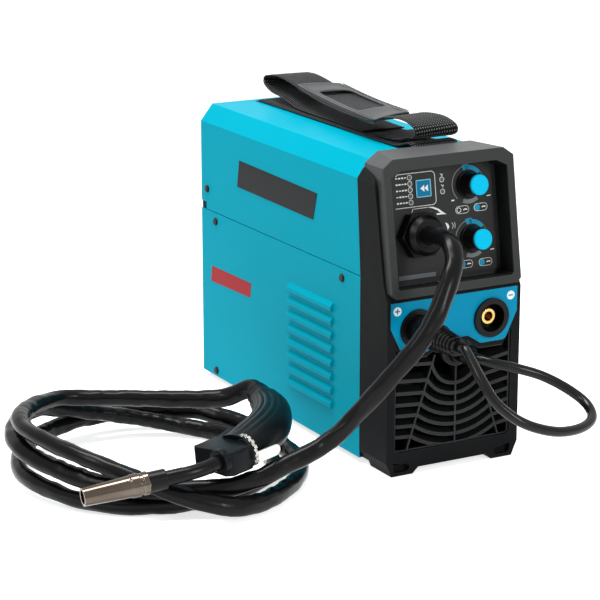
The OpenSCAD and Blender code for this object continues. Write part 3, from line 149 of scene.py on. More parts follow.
def surface(name, col, rough=0.5, metal=0.0, tone=0.07, tone_scale=22, rough_var=0.06, grain=0.0,
            grain_scale=900, bevel=0.0004, coat=0.0, edge=None, edge_amount=0.5, sheen=0.0, stretch=None,
            spec=0.5, top_light=None, inside=None, shade=HOUSING):
    """A finish with uneven tone, uneven gloss, a fine grain, soft edges, and edges in a colour that is partly
    wear and partly a painted highlight.

    tone and rough_var say how far colour and roughness wander, grain is the strength of the bumps, edge is
    the colour that edges turn to, edge wear and, where it is lighter, a painted highlight; the share for
    faces that look up mixes in a pale grey that is painted light from above; stretch scales the pattern, and
    inside is the share of the colour that is left in the regions of painted shade. Lengths are in metres.
    """
    m = bpy.data.materials.new(name)
    m.use_nodes = True
    t = m.node_tree
    t.nodes.clear()
    place = src = node(t, "ShaderNodeTexCoord").outputs["Object"]
    if stretch:
        src = node(t, "ShaderNodeMapping", in_Scale=stretch, in_Vector=place).outputs[0]

    clouds = node(t, "ShaderNodeTexNoise", in_Scale=tone_scale, in_Detail=5.0, in_Roughness=0.6,
                  in_Vector=src)
    low, high = [c * (1 - tone) for c in col], [min(1, c * (1 + tone)) for c in col]
    colour = node(t, "ShaderNodeMix", data_type="RGBA", in_A=(*low, 1), in_B=(*high, 1),
                  in_Factor=clouds.outputs["Fac"]).outputs["Result"]

    true_normal = node(t, "ShaderNodeNewGeometry").outputs["Normal"]
    normal = node(t, "ShaderNodeBevel", samples=4, in_Radius=bevel).outputs[0]
    # Edges turn towards the edge colour: edge wear, and where that colour is lighter, a painted highlight.
    if edge:
        worn_and_glinting = node(t, "ShaderNodeMapRange", in_Value=dot_product(t, normal, true_normal),
                      in_From_Min=EDGE_WEAR_GLINT_FROM, in_From_Max=EDGE_WEAR_GLINT_TO, in_To_Max=edge_amount)
        colour = blend_to(t, colour, worn_and_glinting.outputs[0], edge)
    # Faces that look up are mixed with a pale grey: painted light from above.
    if top_light:
        upward = node(t, "ShaderNodeSeparateXYZ", in_Vector=true_normal).outputs["Z"]
        lit_from_above = node(t, "ShaderNodeMapRange", in_Value=upward, in_From_Min=0.3, in_To_Max=top_light)
        colour = blend_to(t, colour, lit_from_above.outputs[0], TOP_LIGHT_GREY)
    if inside:
        colour = shaded_inside(t, place, colour, inside, shade)

    smears = node(t, "ShaderNodeTexNoise", in_Scale=tone_scale * 3.1, in_Detail=3.0, in_Vector=src)
    gloss = node(t, "ShaderNodeMapRange", in_Value=smears.outputs["Fac"],
                 in_To_Min=max(0.02, rough - rough_var), in_To_Max=min(1, rough + rough_var))
    if grain:
        specks = node(t, "ShaderNodeTexNoise", in_Scale=grain_scale, in_Detail=2.0, in_Vector=src)
        normal = node(t, "ShaderNodeBump", in_Strength=grain, in_Distance=GRAIN_DEEP,
                      in_Height=specks.outputs["Fac"], in_Normal=normal).outputs[0]

    b = node(t, "ShaderNodeBsdfPrincipled", in_Base_Color=colour, in_Roughness=gloss.outputs[0],
             in_Metallic=metal, in_Specular_IOR_Level=spec, in_Normal=normal)
    for layer, weight, layer_rough in (("Coat", coat, 0.12), ("Sheen", sheen, 0.5)):
        if weight:
            b.inputs[layer + " Weight"].default_value = weight
            b.inputs[layer + " Roughness"].default_value = layer_rough
    node(t, "ShaderNodeOutputMaterial", in_Surface=b.outputs[0])
    return m


# ---------------------------------------------------------------- finishes, by the record's material slots
# The edge colours below are edge wear and, where they are lighter than the base, a painted highlight.
MAT = {
    "case_paint": surface("paint", (0.0, 0.345, 0.465), 0.33, tone=0.04, tone_scale=9, grain=0.12,
                          grain_scale=620, bevel=0.0008, spec=0.012, edge=(0.02, 0.58, 0.72),
                          edge_amount=0.55, inside=0.10),
    "dark_steel": surface("dark_steel", (0.006, 0.006, 0.0065), 0.4, grain=0.1, spec=0.12,
                          edge=(0.05, 0.05, 0.05)),
    "zinc": surface("zinc", (0.40, 0.41, 0.42), 0.34, 1.0, tone=0.12, tone_scale=60, grain=0.06,
                    edge=(0.7, 0.7, 0.7), inside=0.12),
    "black_rubber": surface("rubber", (0.006, 0.006, 0.007), 0.75, grain=0.2, grain_scale=1400, spec=0.08),
    "front_plastic": surface("front_plastic", (0.013, 0.0135, 0.014), 0.42, tone=0.12, grain=0.2,
                             grain_scale=1700, bevel=0.0009, spec=0.014, edge=(0.055, 0.057, 0.06),
                             edge_amount=0.7),
    # The bezel gets painted light from above on faces that look up, and painted shade in its recess.
    "bezel_plastic": surface("bezel_plastic", (0.036, 0.038, 0.038), 0.40, tone=0.1, grain=0.2,
                             grain_scale=1700, bevel=0.0009, spec=0.10, edge=(0.11, 0.115, 0.12),
                             top_light=0.14, inside=0.25, shade=RECESS),
    "panel_film": surface("panel_film", (0.034, 0.036, 0.034), 0.36, tone=0.05, grain=0.08,
                          grain_scale=2400, spec=0.08),
    "plate_blue": surface("plate_blue", (0.0, 0.27, 0.46), 0.36, tone=0.05, grain=0.06, spec=0.07,
                          edge=(0.02, 0.42, 0.62), edge_amount=0.4),
    "lamp_clear": surface("lamp", (0.10, 0.105, 0.105), 0.12, tone=0.1, tone_scale=300, coat=0.2),
    "button_blue": surface("button_blue", (0.0, 0.19, 0.36), 0.42, tone=0.06, tone_scale=90, grain=0.08,
                           spec=0.1, edge=(0.20, 0.55, 0.72), edge_amount=0.7, bevel=0.0006),
    "knob_black": surface("knob_black", (0.002, 0.002, 0.0025), 0.3, tone=0.12, grain=0.12,
                          grain_scale=2000, bevel=0.0006, spec=0.14, edge=(0.04, 0.04, 0.042)),
    "cap_blue": surface("cap_blue", (0.0, 0.51, 0.78), 0.34, tone=0.05, tone_scale=80, grain=0.05,
                        spec=0.08, edge=(0.0, 0.27, 0.48), edge_amount=0.6, bevel=0.0005),
    "brass": surface("brass", (0.62, 0.42, 0.14), 0.26, 1.0, tone=0.12, tone_scale=150, grain=0.08,
                     grain_scale=2600, edge=(0.9, 0.72, 0.36)),
    "lead_rubber": surface("lead_rubber", (0.004, 0.004, 0.0045), 0.21, tone=0.15, tone_scale=70,
                           grain=0.04, grain_scale=1300, spec=0.2),
    "sleeve_black": surface("sleeve", (0.0035, 0.0035, 0.004), 0.24, tone=0.2, tone_scale=60,
                            rough_var=0.05, grain=0.05, grain_scale=500, spec=0.12),
    "handle_plastic": surface("handle_plastic", (0.003, 0.0048, 0.0058), 0.33, tone=0.1, grain=0.12,
                              grain_scale=1500, bevel=0.0007, spec=0.09, edge=(0.02, 0.03, 0.035)),
    "nickel": surface("nickel", (0.62, 0.61, 0.56), 0.28, 1.0, tone=0.1, tone_scale=90, grain=0.05,
                      edge=(0.85, 0.85, 0.83)),
    # The nozzle's dark base and long streaks along its axis are a painted reflection of dark surroundings,
    # and its bright edges a painted highlight.
    "nozzle_chrome": surface("nozzle", (0.10, 0.08, 0.064), 0.14, 1.0, tone=0.85, tone_scale=95,
                             rough_var=0.06, grain=0.05, grain_scale=1800, edge=(0.85, 0.76, 0.66),
                             stretch=(0.06, 1.0, 1.0)),
    "copper": surface("copper", (0.65, 0.33, 0.18), 0.3, 1.0, tone=0.12, tone_scale=120),
    "webbing": surface("web_black", (0.006, 0.006, 0.0065), 0.7, sheen=0.05, grain=0.5, spec=0.08),
    "webbing_grey": surface("web_grey", (0.030, 0.032, 0.034), 0.38, grain=0.2, bevel=0.0008, spec=0.22,
                            edge=(0.16, 0.165, 0.17), edge_amount=0.8),
    "rocker_red": surface("rocker_red", (0.35, 0.012, 0.010), 0.35, grain=0.05, spec=0.2),
    "spool_black": surface("spool_plastic", (0.010, 0.010, 0.011), 0.5, grain=0.15, spec=0.1),
    "board_green": surface("board_green", (0.004, 0.03, 0.012), 0.5, tone=0.2, tone_scale=200, spec=0.1),
    "coil_yellow": surface("coil_yellow", (0.45, 0.27, 0.05), 0.5, tone=0.15, tone_scale=150),
}
# A lighter copy of the front plastic for the grille's blades: a painted highlight of the front light on them,
# with painted shade behind their front edges.
GRILLE_LIT_COPY = surface("grille_plastic_lit", (0.034, 0.035, 0.036), 0.42, tone=0.12, grain=0.2, grain_scale=1700,
                 bevel=0.0009, spec=0.03, edge=(0.10, 0.103, 0.108), edge_amount=0.8, inside=0.22,
                 shade=BEHIND_BLADES)
# Light grey for the beads along the pad's rims: a painted highlight on the rims.
RIM_HIGHLIGHT_GREY = surface("pad_rim_highlight", (0.13, 0.135, 0.14), 0.4, tone=0.15, tone_scale=200, spec=0.2)
INK_WHITE = surface("ink_white", (0.88, 0.89, 0.88), 0.4, tone=0.04, bevel=0.0001, spec=0.1)
INK_GREY = surface("ink_grey", (0.20, 0.21, 0.21), 0.4, tone=0.06, bevel=0.0001, spec=0.1)
INK_BLUE = surface("ink_blue", (0.02, 0.33, 0.52), 0.4, tone=0.05, bevel=0.0001, spec=0.1)
INK_BAND = surface("ink_band", (0.13, 0.15, 0.16), 0.3, tone=0.05, bevel=0.0001, spec=0.15)
BUTTON_EDGE = surface("button_edge", (0.30, 0.62, 0.75), 0.4, spec=0.2)
LABEL_RED = surface("label_red", (0.36, 0.02, 0.025), 0.4, tone=0.05, bevel=0.0001, spec=0.05)
LABEL_DARK = surface("label_dark", (0.006, 0.007, 0.008), 0.3, tone=0.05, bevel=0.0001, spec=0.06)
# The front grille takes the lighter copy of the front plastic, which holds painted light and shade.
for row in frame["record"]["subparts"]:
    o = nodes.get(row["node"])
    if o is not None:
        o.data.materials.clear()
        o.data.materials.append(GRILLE_LIT_COPY if row["node"] == "front_grille" else MAT[row["material_slot"]])


# ---------------------------------------------------------------- mesh helpers
def piece(name, verts, faces, *mats, smooth=True, slot=None, picks=None):
    """A visible piece that rides on the case; picks gives each face's place in mats."""
    me = bpy.data.meshes.new(name)
    me.from_pydata([tuple(v) for v in verts], [], faces)
    me.update()
    o = bpy.data.objects.new(name, me)
    bpy.context.scene.collection.objects.link(o)
    for m in mats:
        me.materials.append(m)
    for i, f in enumerate(me.polygons):
        f.use_smooth = smooth
        if picks:
            f.material_index = picks[i]
    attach(o, "case")
    return o


def outward(o):
    """Turns every face of the piece outward."""
    bm = bmesh.new()
    bm.from_mesh(o.data)
    bmesh.ops.recalc_face_normals(bm, faces=bm.faces)
    bm.to_mesh(o.data)
    bm.free()
    return o


def with_creases(o, angle):
    """Keeps the edges sharp whose faces meet at more than the angle in degrees."""
    bm = bmesh.new()
    bm.from_mesh(o.data)
    for e in bm.edges:
        e.smooth = not (len(e.link_faces) == 2 and e.calc_face_angle(0) > math.radians(angle))
    bm.to_mesh(o.data)
    bm.free()
    return o


def tube_faces(rows, sides, first=0):
    """Faces of a closed tube of point rings: its quads, then its two ends."""
    faces = []
    for i in range(rows - 1):
        a, b = first + i * sides, first + (i + 1) * sides
        faces += [(a + j, a + (j + 1) % sides, b + (j + 1) % sides, b + j) for j in range(sides)]
    last = first + (rows - 1) * sides
    return faces + [tuple(range(first + sides - 1, first - 1, -1)), tuple(range(last, last + sides))]


def clamp(x):
    return max(0.0, min(1.0, x))


def between(a, b, c, d, t):
    """Smooth curve from b at t = 0 to c at t = 1, with a before and d after them."""
    return 0.5 * (2 * b + (c - a) * t + (2 * a - 5 * b + 4 * c - d) * t * t
                  + (3 * b - a - 3 * c + d) * t ** 3)


def spline(pts, n):
    pts = [Vector(p) for p in pts]
    last = len(pts) - 1
    out = [between(pts[max(i - 1, 0)], pts[i], pts[i + 1], pts[min(i + 2, last)], j / n)
           for i in range(last) for j in range(n)]
    return out + [pts[-1]]


def length(path):
    return sum((b - a).length for a, b in zip(path, path[1:]))


def even(path, step):
    """The same path with points a fixed step apart."""
    out, left = [path[0].copy()], step
    for a, b in zip(path, path[1:]):
        d = (b - a).length
        while d >= left:
            a = a + (b - a) * (left / d)
            d -= left
            out.append(a.copy())
            left = step
        left -= d
    out.append(path[-1].copy())
    return out


def frames(path, side):
    """Tangent and two untwisted side vectors at every point."""
    res, n = [], Vector(side)
    for i in range(len(path)):
        t = (path[min(i + 1, len(path) - 1)] - path[max(i - 1, 0)]).normalized()
        n = (n - n.dot(t) * t).normalized()
        res.append((t, n, t.cross(n)))
    return res


def sweep(name, path, sides, radius, mat, side=(1, 0, 0), slot=None):
    """A closed tube whose radius(i, s, angle, frame) may vary."""
    verts, s = [], 0.0
    for i, (p, at) in enumerate(zip(path, frames(path, side))):
        if i:
            s += (p - path[i - 1]).length
        _, n, b = at
        for j in range(sides):
            a = 2 * math.pi * j / sides
            verts.append(p + radius(i, s, a, at) * (math.cos(a) * n + math.sin(a) * b))
    return piece(name, verts, tube_faces(len(path), sides), mat, slot=slot)


# ---------------------------------------------------------------- the torch lead
TORCH = (Matrix.Translation(TORCH_AT) @ Matrix.Rotation(math.radians(TORCH_TURN), 4, "Z")
         @ Matrix.Rotation(math.radians(TORCH_DIP), 4, "Y"))
HANDLE_L = math.radians(HANDLE_ARC) * HANDLE_R


def handle_frame(s):
    """Frame on the torch handle's curved middle line, s mm behind the head."""
    return (TORCH @ Matrix.Translation((0, -HANDLE_R, 0)) @ Matrix.Rotation(s / HANDLE_R, 4, "Z")
            @ Matrix.Translation((0, HANDLE_R, 0)))


# Middle line of the lead in millimetres: it leaves the face, falls to the floor, lies in a coil there and
# rises into the handle. A row of COIL is a distance from the coil's middle and a height above the floor,
# every 45 degrees.
MOUTH = FACE + Vector((-25, 0, 0)) + 52 * UP - 0.7 * WAY
FALL = [(-26, -213, 211), (-32, -227, 199), (-41, -236, 187), (-51, -241, 172), (-62, -244, 155),
        (-80, -243, 132), (-102, -231, 101), (-118, -215, 74), (-136, -207, 54), (-173, -203, 36)]
COIL_X, COIL_Y, COIL_START, COIL_TURN = -240, -56, -90, -45
COIL = [(135, 24), (124, 28.5), (128, 43.5), (115, 44.5), (97, 23.5), (94, 9.5), (101, 9), (112, 8),
        (117, 8), (122, 9), (123, 15), (117, 16), (114, 18), (116, 18), (121, 10), (138, 8),
        (155, 14), (133, 50), (124, 61.5), (98, 56), (60, 49.5)]
RISE = (-168, -38, 44)
REAR = handle_frame(HANDLE_L)
REAR_AT = REAR @ Vector((0, 0, 0))
REAR_WAY = (REAR.to_3x3() @ Vector((-1, 0, 0))).normalized()
# Distance in metres from one ring of vertices to the next along each lead.
LEAD_STEP, POLE_STEP = 0.0028, 0.003


def coil_point(k, away, high):
    a = math.radians(COIL_START + COIL_TURN * k)
    return (COIL_X + away * math.cos(a), COIL_Y + away * math.sin(a), FLOOR + max(LEAD_D / 2, high))


lead_pts = [MOUTH, MOUTH + LEAD_D * WAY, *FALL, *(coil_point(k, *row) for k, row in enumerate(COIL)), RISE,
            REAR_AT + LEAD_D * REAR_WAY, REAR_AT]
lead_line = spline([Vector(p) * MM for p in lead_pts], 12)
lead_line = even([MOUTH * MM - WAY * (END_IN * MM)] + lead_line
                 + [REAR_AT * MM - REAR_WAY * (END_IN * MM)], LEAD_STEP)
total_lead = length(lead_line)


def sleeve_radius(i, s, a, at):
    """A flattened sleeve that puckers, most where the lead bends."""
    _, n, b = at
    before, after = max(0, i - 6), min(len(lead_line) - 1, i + 6)
    bend = lead_line[after] - 2 * lead_line[i] + lead_line[before]
    curl = min(1.0, bend.length / 0.0016)
    out = math.cos(a) * n + math.sin(a) * b
    inner = 0.5 + 0.5 * out.dot(bend.normalized()) if bend.length > 1e-7 else 0.5
    # Long soft folds, small puckers, a slowly turning flat, and rings of ruck on the inner side of a bend.
    fold = abs(noise.noise(Vector((math.cos(a) * 0.55, math.sin(a) * 0.55, s * 38)))) * 2 - 0.35
    pucker = noise.noise(Vector((math.cos(a) * 1.4, math.sin(a) * 1.4, s * 60)))
    flat = 0.085 * math.cos(2 * (a - 2.2 * noise.noise(Vector((s * 2.2, 5, 1))))) - 0.03
    wander = 3 * noise.noise(Vector((s * 20, 1, math.cos(a))))
    ruck = max(0.0, math.sin(2 * math.pi * s / 0.0125 + wander))
    patch = max(0.0, noise.noise(Vector((s * 7, 3, 2))) + 0.25)
    ends = min(1.0, s / 0.02, max(0.0, (total_lead - s) / 0.02))
    r = LEAD_D * MM / 2 * (1 + ends * (flat - 0.12 * fold * (0.45 + 0.8 * inner * curl)
                                       + 0.05 * pucker * (0.4 + 0.8 * curl)
                                       - 0.16 * ruck * inner * min(1.0, 0.25 + curl) * patch))
    return min(r, LEAD_D * MM / 2 * 1.06)


lead = sweep("torch_lead_sleeve", lead_line, 28, sleeve_radius, MAT["sleeve_black"], slot="sleeve_black")
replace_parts(lead, "torch_lead", "torch_coil")

# ---------------------------------------------------------------- the polarity lead
# Its middle line in millimetres, from inside its boot on the front to inside its plug.
POLE_FROM, POLE_TO = (3, -200, 104), (-38.5, -243, 129)
POLE_PTS = [(3, -205.3, 104), (3, -206.8, 104), (3, -214.3, 104), (12, -226, 102), (30, -235, 97),
            (52, -244, 89), (70, -257, 78), (78, -275, 68), (71, -293, 61), (49, -306, 59), (18, -312, 63),
            (-13, -309, 75), (-32, -297, 92), (-38, -281, 111), (-38.5, -258.3, 129), (-38.5, -250.8, 129),
            (-38.5, -249.3, 129)]
pole_line = even([Vector(POLE_FROM) * MM] + spline([Vector(p) * MM for p in POLE_PTS], 12)
                 + [Vector(POLE_TO) * MM], POLE_STEP)


def pole_radius(i, s, a, at):
    """A round rubber lead, a little uneven."""
    return POLE_D * MM / 2 * (1 + 0.012 * noise.noise(Vector((s * 60, math.cos(a), math.sin(a)))))


pole = sweep("polarity_lead_skin", pole_line, 24, pole_radius, MAT["lead_rubber"], side=(0, 0, 1),
             slot="lead_rubber")
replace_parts(pole, "polarity_lead")

# ---------------------------------------------------------------- the torch's grip and head
# Evenly spaced sections from head to cuff: half widths towards the trigger and away from it, and thickness.
GRIP = [[25.5, 13, 27], [25, 15.5, 32], [23, 18, 33], [20, 17.5, 31], [17.5, 16, 27.5], [15, 13, 23]]
# In mm behind the head: where those sections start and end, and where the rings of vertices start.
GRIP_FROM, GRIP_TO = 24, HANDLE_L - 18
GRIP_START, GRIP_STEP, GRIP_SIDES = 24.2, 1.55, 112
# The cuff's radius and the pitch of its rings.
CUFF_R, CUFF_RING = 10.75, 3.6
# In degrees round the grip: where the ribs lie, one rib's share, and half a seam's.
RIBS_FROM, RIBS_TO, RIB_TURN, SEAM_HALF = 62, 168, 17.7, 2.4
RIB_DEEP, SEAM_DEEP, RING_DEEP = 0.85, 0.35, 0.5


def grip_section(s):
    """Half widths towards the trigger and away from it, and half thickness, s mm behind the head."""
    if s < GRIP_TO:
        f = clamp((s - GRIP_FROM) / (GRIP_TO - GRIP_FROM)) * (len(GRIP) - 1)
        i = min(int(f), len(GRIP) - 2)
        near = (GRIP[max(i - 1, 0)], GRIP[i], GRIP[i + 1], GRIP[min(i + 2, len(GRIP) - 1)])
        front, back, thick = (between(*size, f - i) for size in zip(*near))
        return front, back, thick / 2
    k = min(1.0, (s - GRIP_TO) / 5)
    k = k * k * (3 - 2 * k)
    front, back, thick = GRIP[-1]
    return [a + (CUFF_R - a) * k for a in (front, back, thick / 2)]


def groove(x, pitch):
    """Goes from 0 to 1 and back once in every pitch."""
    return 0.5 - 0.5 * math.cos(2 * math.pi * x / pitch)


def grip_cut(s, deg):
    """Depth in mm of the ribs' grooves and the mould's seams, or of the cuff's rings."""
    rib = 0.0
    if RIBS_FROM < deg < RIBS_TO:
        ease = min(1.0, (deg - RIBS_FROM) / 12, (RIBS_TO - deg) / 12)
        rib = RIB_DEEP * ease * groove(deg - RIBS_FROM, RIB_TURN) ** 3
    on_seam = abs(deg - 180) < SEAM_HALF or deg > 360 - SEAM_HALF or deg < SEAM_HALF
    seam = SEAM_DEEP if on_seam else 0.0
    fade = clamp((s - 30) / 10) * clamp((GRIP_TO - 1 - s) / 12)
    rings = RING_DEEP * groove(s - GRIP_TO - 6, CUFF_RING) ** 2 if s > GRIP_TO + 6 else 0.0
    return (rib + seam) * fade + rings


def grip():
    """One smooth moulding from the head to the lead's cuff, with long ribs on its upper inner side."""
    at = [GRIP_START + GRIP_STEP * i for i in range(int((HANDLE_L + 2 - GRIP_START) / GRIP_STEP) + 1)]
    verts = []
    for s in at:
        f = handle_frame(s)
        front, back, thick = grip_section(s)
        middle = (back - front) / 2
        square = 2 / 2.25 if s < GRIP_TO else 1.0
        for j in range(GRIP_SIDES):
            a = 2 * math.pi * j / GRIP_SIDES
            ca, sa = math.cos(a), math.sin(a)
            y = (back + front) / 2 * math.copysign(abs(ca) ** square, ca) + middle
            z = thick * math.copysign(abs(sa) ** square, sa)
            cut = grip_cut(s, math.degrees(a))
            away = math.hypot(y - middle, z) or 1.0
            y -= (y - middle) / away * cut
            z -= z / away * cut
            verts.append(f @ Vector((0, y, z)) * MM)
    faces = tube_faces(len(at), GRIP_SIDES)
    o = piece("torch_grip", verts, faces, MAT["handle_plastic"], slot="handle_plastic")
    return with_creases(outward(o), 50)


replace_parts(grip(), "torch_handle")


def softened(name, new, width, mat):
    """A copy of a moulded node with its edges rounded, in place of the node."""
    me = nodes[name].data.copy()
    bm = bmesh.new()
    bm.from_mesh(me)
    bmesh.ops.remove_doubles(bm, verts=bm.verts, dist=1e-6)
    bmesh.ops.dissolve_limit(bm, angle_limit=math.radians(2), verts=bm.verts, edges=bm.edges)
    bm.to_mesh(me)
    bm.free()
    me.materials.clear()
    me.materials.append(mat)
    for f in me.polygons:
        f.use_smooth = True
    o = bpy.data.objects.new(new, me)
    bpy.context.scene.collection.objects.link(o)
    bv = o.modifiers.new("soft", "BEVEL")
    bv.width, bv.segments, bv.limit_method, bv.angle_limit = width, 3, "ANGLE", math.radians(30)
    bv.use_clamp_overlap = True
    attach(o, "case")
    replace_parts(o, name)


softened("torch_head", "torch_head_moulding", 0.0011, MAT["handle_plastic"])

# ---------------------------------------------------------------- the carrying strap
# The ground's colour, and the pitch of the ribs in metres.
WEAVE_DARK = (0.0012, 0.0012, 0.0015)
WEAVE_PITCH = 0.0056


def weave(name, light):
    """Webbing: ribs of yarn that cross in steps, laid out along the band's own length and width."""
    m = surface(name, WEAVE_DARK, 0.62, tone=0.2, tone_scale=60, spec=0.05, sheen=0.08, bevel=0.0003)
    t = m.node_tree
    b = next(n for n in t.nodes if n.type == "BSDF_PRINCIPLED")
    uv = node(t, "ShaderNodeSeparateXYZ", in_Vector=node(t, "ShaderNodeUVMap", uv_map="UVMap").outputs[0])

    def ribs(slant):
        across = maths(t, "MULTIPLY", uv.outputs["Y"], slant)
        along = maths(t, "MULTIPLY_ADD", uv.outputs["X"], 0.9, across)
        return maths(t, "SINE", maths(t, "MULTIPLY", along, 2 * math.pi / WEAVE_PITCH))

    crossed = maths(t, "MULTIPLY", ribs(1.05), ribs(-1.05))
    yarn = node(t, "ShaderNodeMapRange", in_Value=crossed, in_From_Min=0.22, in_From_Max=0.95).outputs[0]
    ground = b.inputs["Base Color"].links[0].from_socket
    feed(t, b.inputs["Base Color"], blend_to(t, ground, yarn, light))
    raised = node(t, "ShaderNodeBump", in_Strength=0.8, in_Distance=0.0005, in_Height=yarn,
                  in_Normal=b.inputs["Normal"].links[0].from_socket)
    feed(t, b.inputs["Normal"], raised.outputs[0])
    return m


WEB = weave("web_black_weave", (0.15, 0.154, 0.16))
WEB_LOW = weave("web_low_weave", (0.12, 0.123, 0.128))
# A band's cells across and its step along in metres. It thins from SELVEDGE, as a share of its half width,
# outwards, and waves by BAND_WAVE millimetres.
BAND_CELLS, BAND_STEP = 16, 0.0025
SELVEDGE, BAND_WAVE = 0.93, 0.22


def ribbon(name, stations, w, thick, mat, crown=None):
    """A woven band along stations of (x, y, z, lean), flat with round selvedges, and its length."""
    mids = even(spline([Vector(q[:3]) * MM for q in stations], 10), BAND_STEP)
    leans = spline([Vector((q[3], 0, 0)) for q in stations], 10)
    last, total = len(mids) - 1, length(mids)
    rows, s = [], 0.0
    for i, p in enumerate(mids):
        if i:
            s += (p - mids[i - 1]).length
        tan = (mids[min(i + 1, last)] - mids[max(i - 1, 0)]).normalized()
        lean = math.radians(leans[round(i / last * (len(leans) - 1))].x)
        side = Vector((math.cos(lean), 0, math.sin(lean)))
        side = (side - side.dot(tan) * tan).normalized()
        up = side.cross(tan) * -1
        top, low = [], []
        for j in range(BAND_CELLS + 1):
            u = -1 + 2 * j / BAND_CELLS
            across = u * w * MM / 2
            edge = math.sqrt(max(0.0, 1 - max(0.0, (abs(u) - SELVEDGE) / (1 - SELVEDGE)) ** 2))
            half = thick * MM / 2 * max(0.25, edge)
            lift = crown(s / total, u) * MM if crown else 0.0
            lift += BAND_WAVE * MM * noise.noise(Vector((u * 1.6, s * 30, len(name))))
            top.append((p + side * across + up * (lift + half), (s, across)))
            low.append((p + side * across + up * (lift - half), (s, across)))
        rows.append(top + low[::-1])
    points = [point for row in rows for point in row]
    o = piece(name, [v for v, _ in points], tube_faces(len(rows), len(rows[0])), mat, slot="webbing")
    lay = o.data.uv_layers.new(name="UVMap")
    for loop in o.data.loops:
        lay.data[loop.index].uv = points[loop.vertex_index][1]
    return outward(o), total


# Stations in millimetres, with the band's lean in degrees; the band's width and thickness.
BASE_W, BASE_T = 48, 1.9
BASE_AT = [(11, 167, 266, 0), (11, 167, 271.5, 0), (11, 166, 274.8, 0), (11, 162, 275.6, 0),
           (11, 120, 275.6, 0), (11, 40, 275.6, 0), (11, -60, 275.6, 0), (11, -96, 276.2, 0),
           (11, -108, 279.0, 0), (11, -117, 281.6, 0), (11, -124.5, 281.2, 0), (11, -128.2, 277.4, 0),
           (11, -128.8, 272, 0), (11, -128.7, 266, 0)]
WEB_W, WEB_T = 45, 1.7
WEB_AT = [(13, -52, 278.2, 0), (13, -72, 278.4, 0), (13, -96, 280.6, 0), (13, -110, 284.6, 0),
          (13, -120.5, 286.2, 0), (13, -126, 290.4, 0), (12.5, -123, 296.0, 1), (12, -110, 299.6, 1),
          (11, -95, 300.2, 2), (8, -77, 298.2, 3), (5, -58, 293.0, 4), (7, -20, 292.4, 3),
          (12, 30, 292.6, 3), (18, 75, 293.4, 2), (22, 106, 294.8, 0), (22, 132, 298.8, -1),
          (21, 150, 300.6, -2), (20, 164, 299.6, -2), (19, 171, 295.8, -1), (18, 169, 290.6, 0),
          (17, 154, 286.4, 2), (16, 132, 284.6, 2), (15, 112, 280.8, 0), (14, 99, 278.3, 0),
          (14, 88, 277.9, 0), (13, 58, 277.9, 0), (13, 30, 277.9, 0), (13, 4, 277.9, 0),
          (12, -20, 277.9, 0), (12, -36, 277.9, 0)]


def web_crown(k, u):
    """Stands up a little in the middle where the pad's frame holds its edges."""
    mid = max(0.0, 1 - abs(k - 0.475) / 0.13)
    return 1.5 * min(1.0, mid * 1.6) * (1 - u * u)


base, base_l = ribbon("strap_base_web", BASE_AT, BASE_W, BASE_T, WEB_LOW)
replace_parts(base, "strap_base")
web, web_l = ribbon("strap_web_folded", WEB_AT, WEB_W, WEB_T, WEB, web_crown)
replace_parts(web, "strap_web")

# ---------------------------------------------------------------- the shoulder pad
# Its corners, in order round it, and the lines of its grid: u across from -1 to 1, v along from the rear.
PAD = [Vector(p) for p in ((2.0, 117, 297.4), (46.0, 101, 297.2), (27.5, -58, 296.0), (-17.0, -66, 293.0))]
PAD_U = [-1.0, -0.985, -0.94, -0.86, -0.74, -0.70, -0.35, 0.0, 0.35, 0.70, 0.74, 0.86, 0.94, 0.985, 1.0]
PAD_V = [0, 0.012, 0.05, 0.12, 0.195, 0.215, 0.3, 0.4, 0.5, 0.6, 0.7, 0.745, 0.765, 0.84, 0.92, 0.988, 1.0]
# In millimetres: its bulge across, its sag along, and how steeply it lifts past its middle.
PAD_BULGE, PAD_SAG, PAD_LIFT = 1.3, 1.6, 1.5
BEAD_CELLS = 40


def pad_at(u, v):
    """A point of the pad's crown in millimetres: u across from -1 to 1, v along from the rear, 0 to 1."""
    a, b, c, d = PAD
    q = a.lerp(d, v).lerp(b.lerp(c, v), (u + 1) / 2)
    return q + Vector((0, 0, PAD_BULGE * (1 - u * u) - PAD_SAG * math.sin(math.pi * v)
                       + (PAD_LIFT * (v - 0.5) ** 2 if v > 0.5 else 0)))


def pad_point(i, j, low):
    """A corner of the grid on the frame's upper or lower skin: its rims stand up and its sides turn down."""
    u, v = PAD_U[i], PAD_V[j]
    side = abs(u)
    outer_rim = side > 0.9 or j in (0, 1, 15, 16)
    window_rim = (0.69 < side < 0.75 and 4 <= j <= 12) or (j in (4, 5, 11, 12) and side < 0.75)
    corner = 0.06 * max(0.0, (0.04 - min(v, 1 - v)) / 0.04) * (side > 0.9)
    drop = 2.6 if side > 0.99 else 0.7 if side > 0.98 else 0.0
    q = pad_at(u * (1 - corner), v) + Vector((0, 0, 0.8 * (outer_rim or window_rim) - drop))
    if low:
        q -= Vector((0, 0, 1.3 if side > 0.99 else 1.9))
        q -= Vector((0, 0, 1.2 if side > 0.93 else 0.0))
    return q * MM


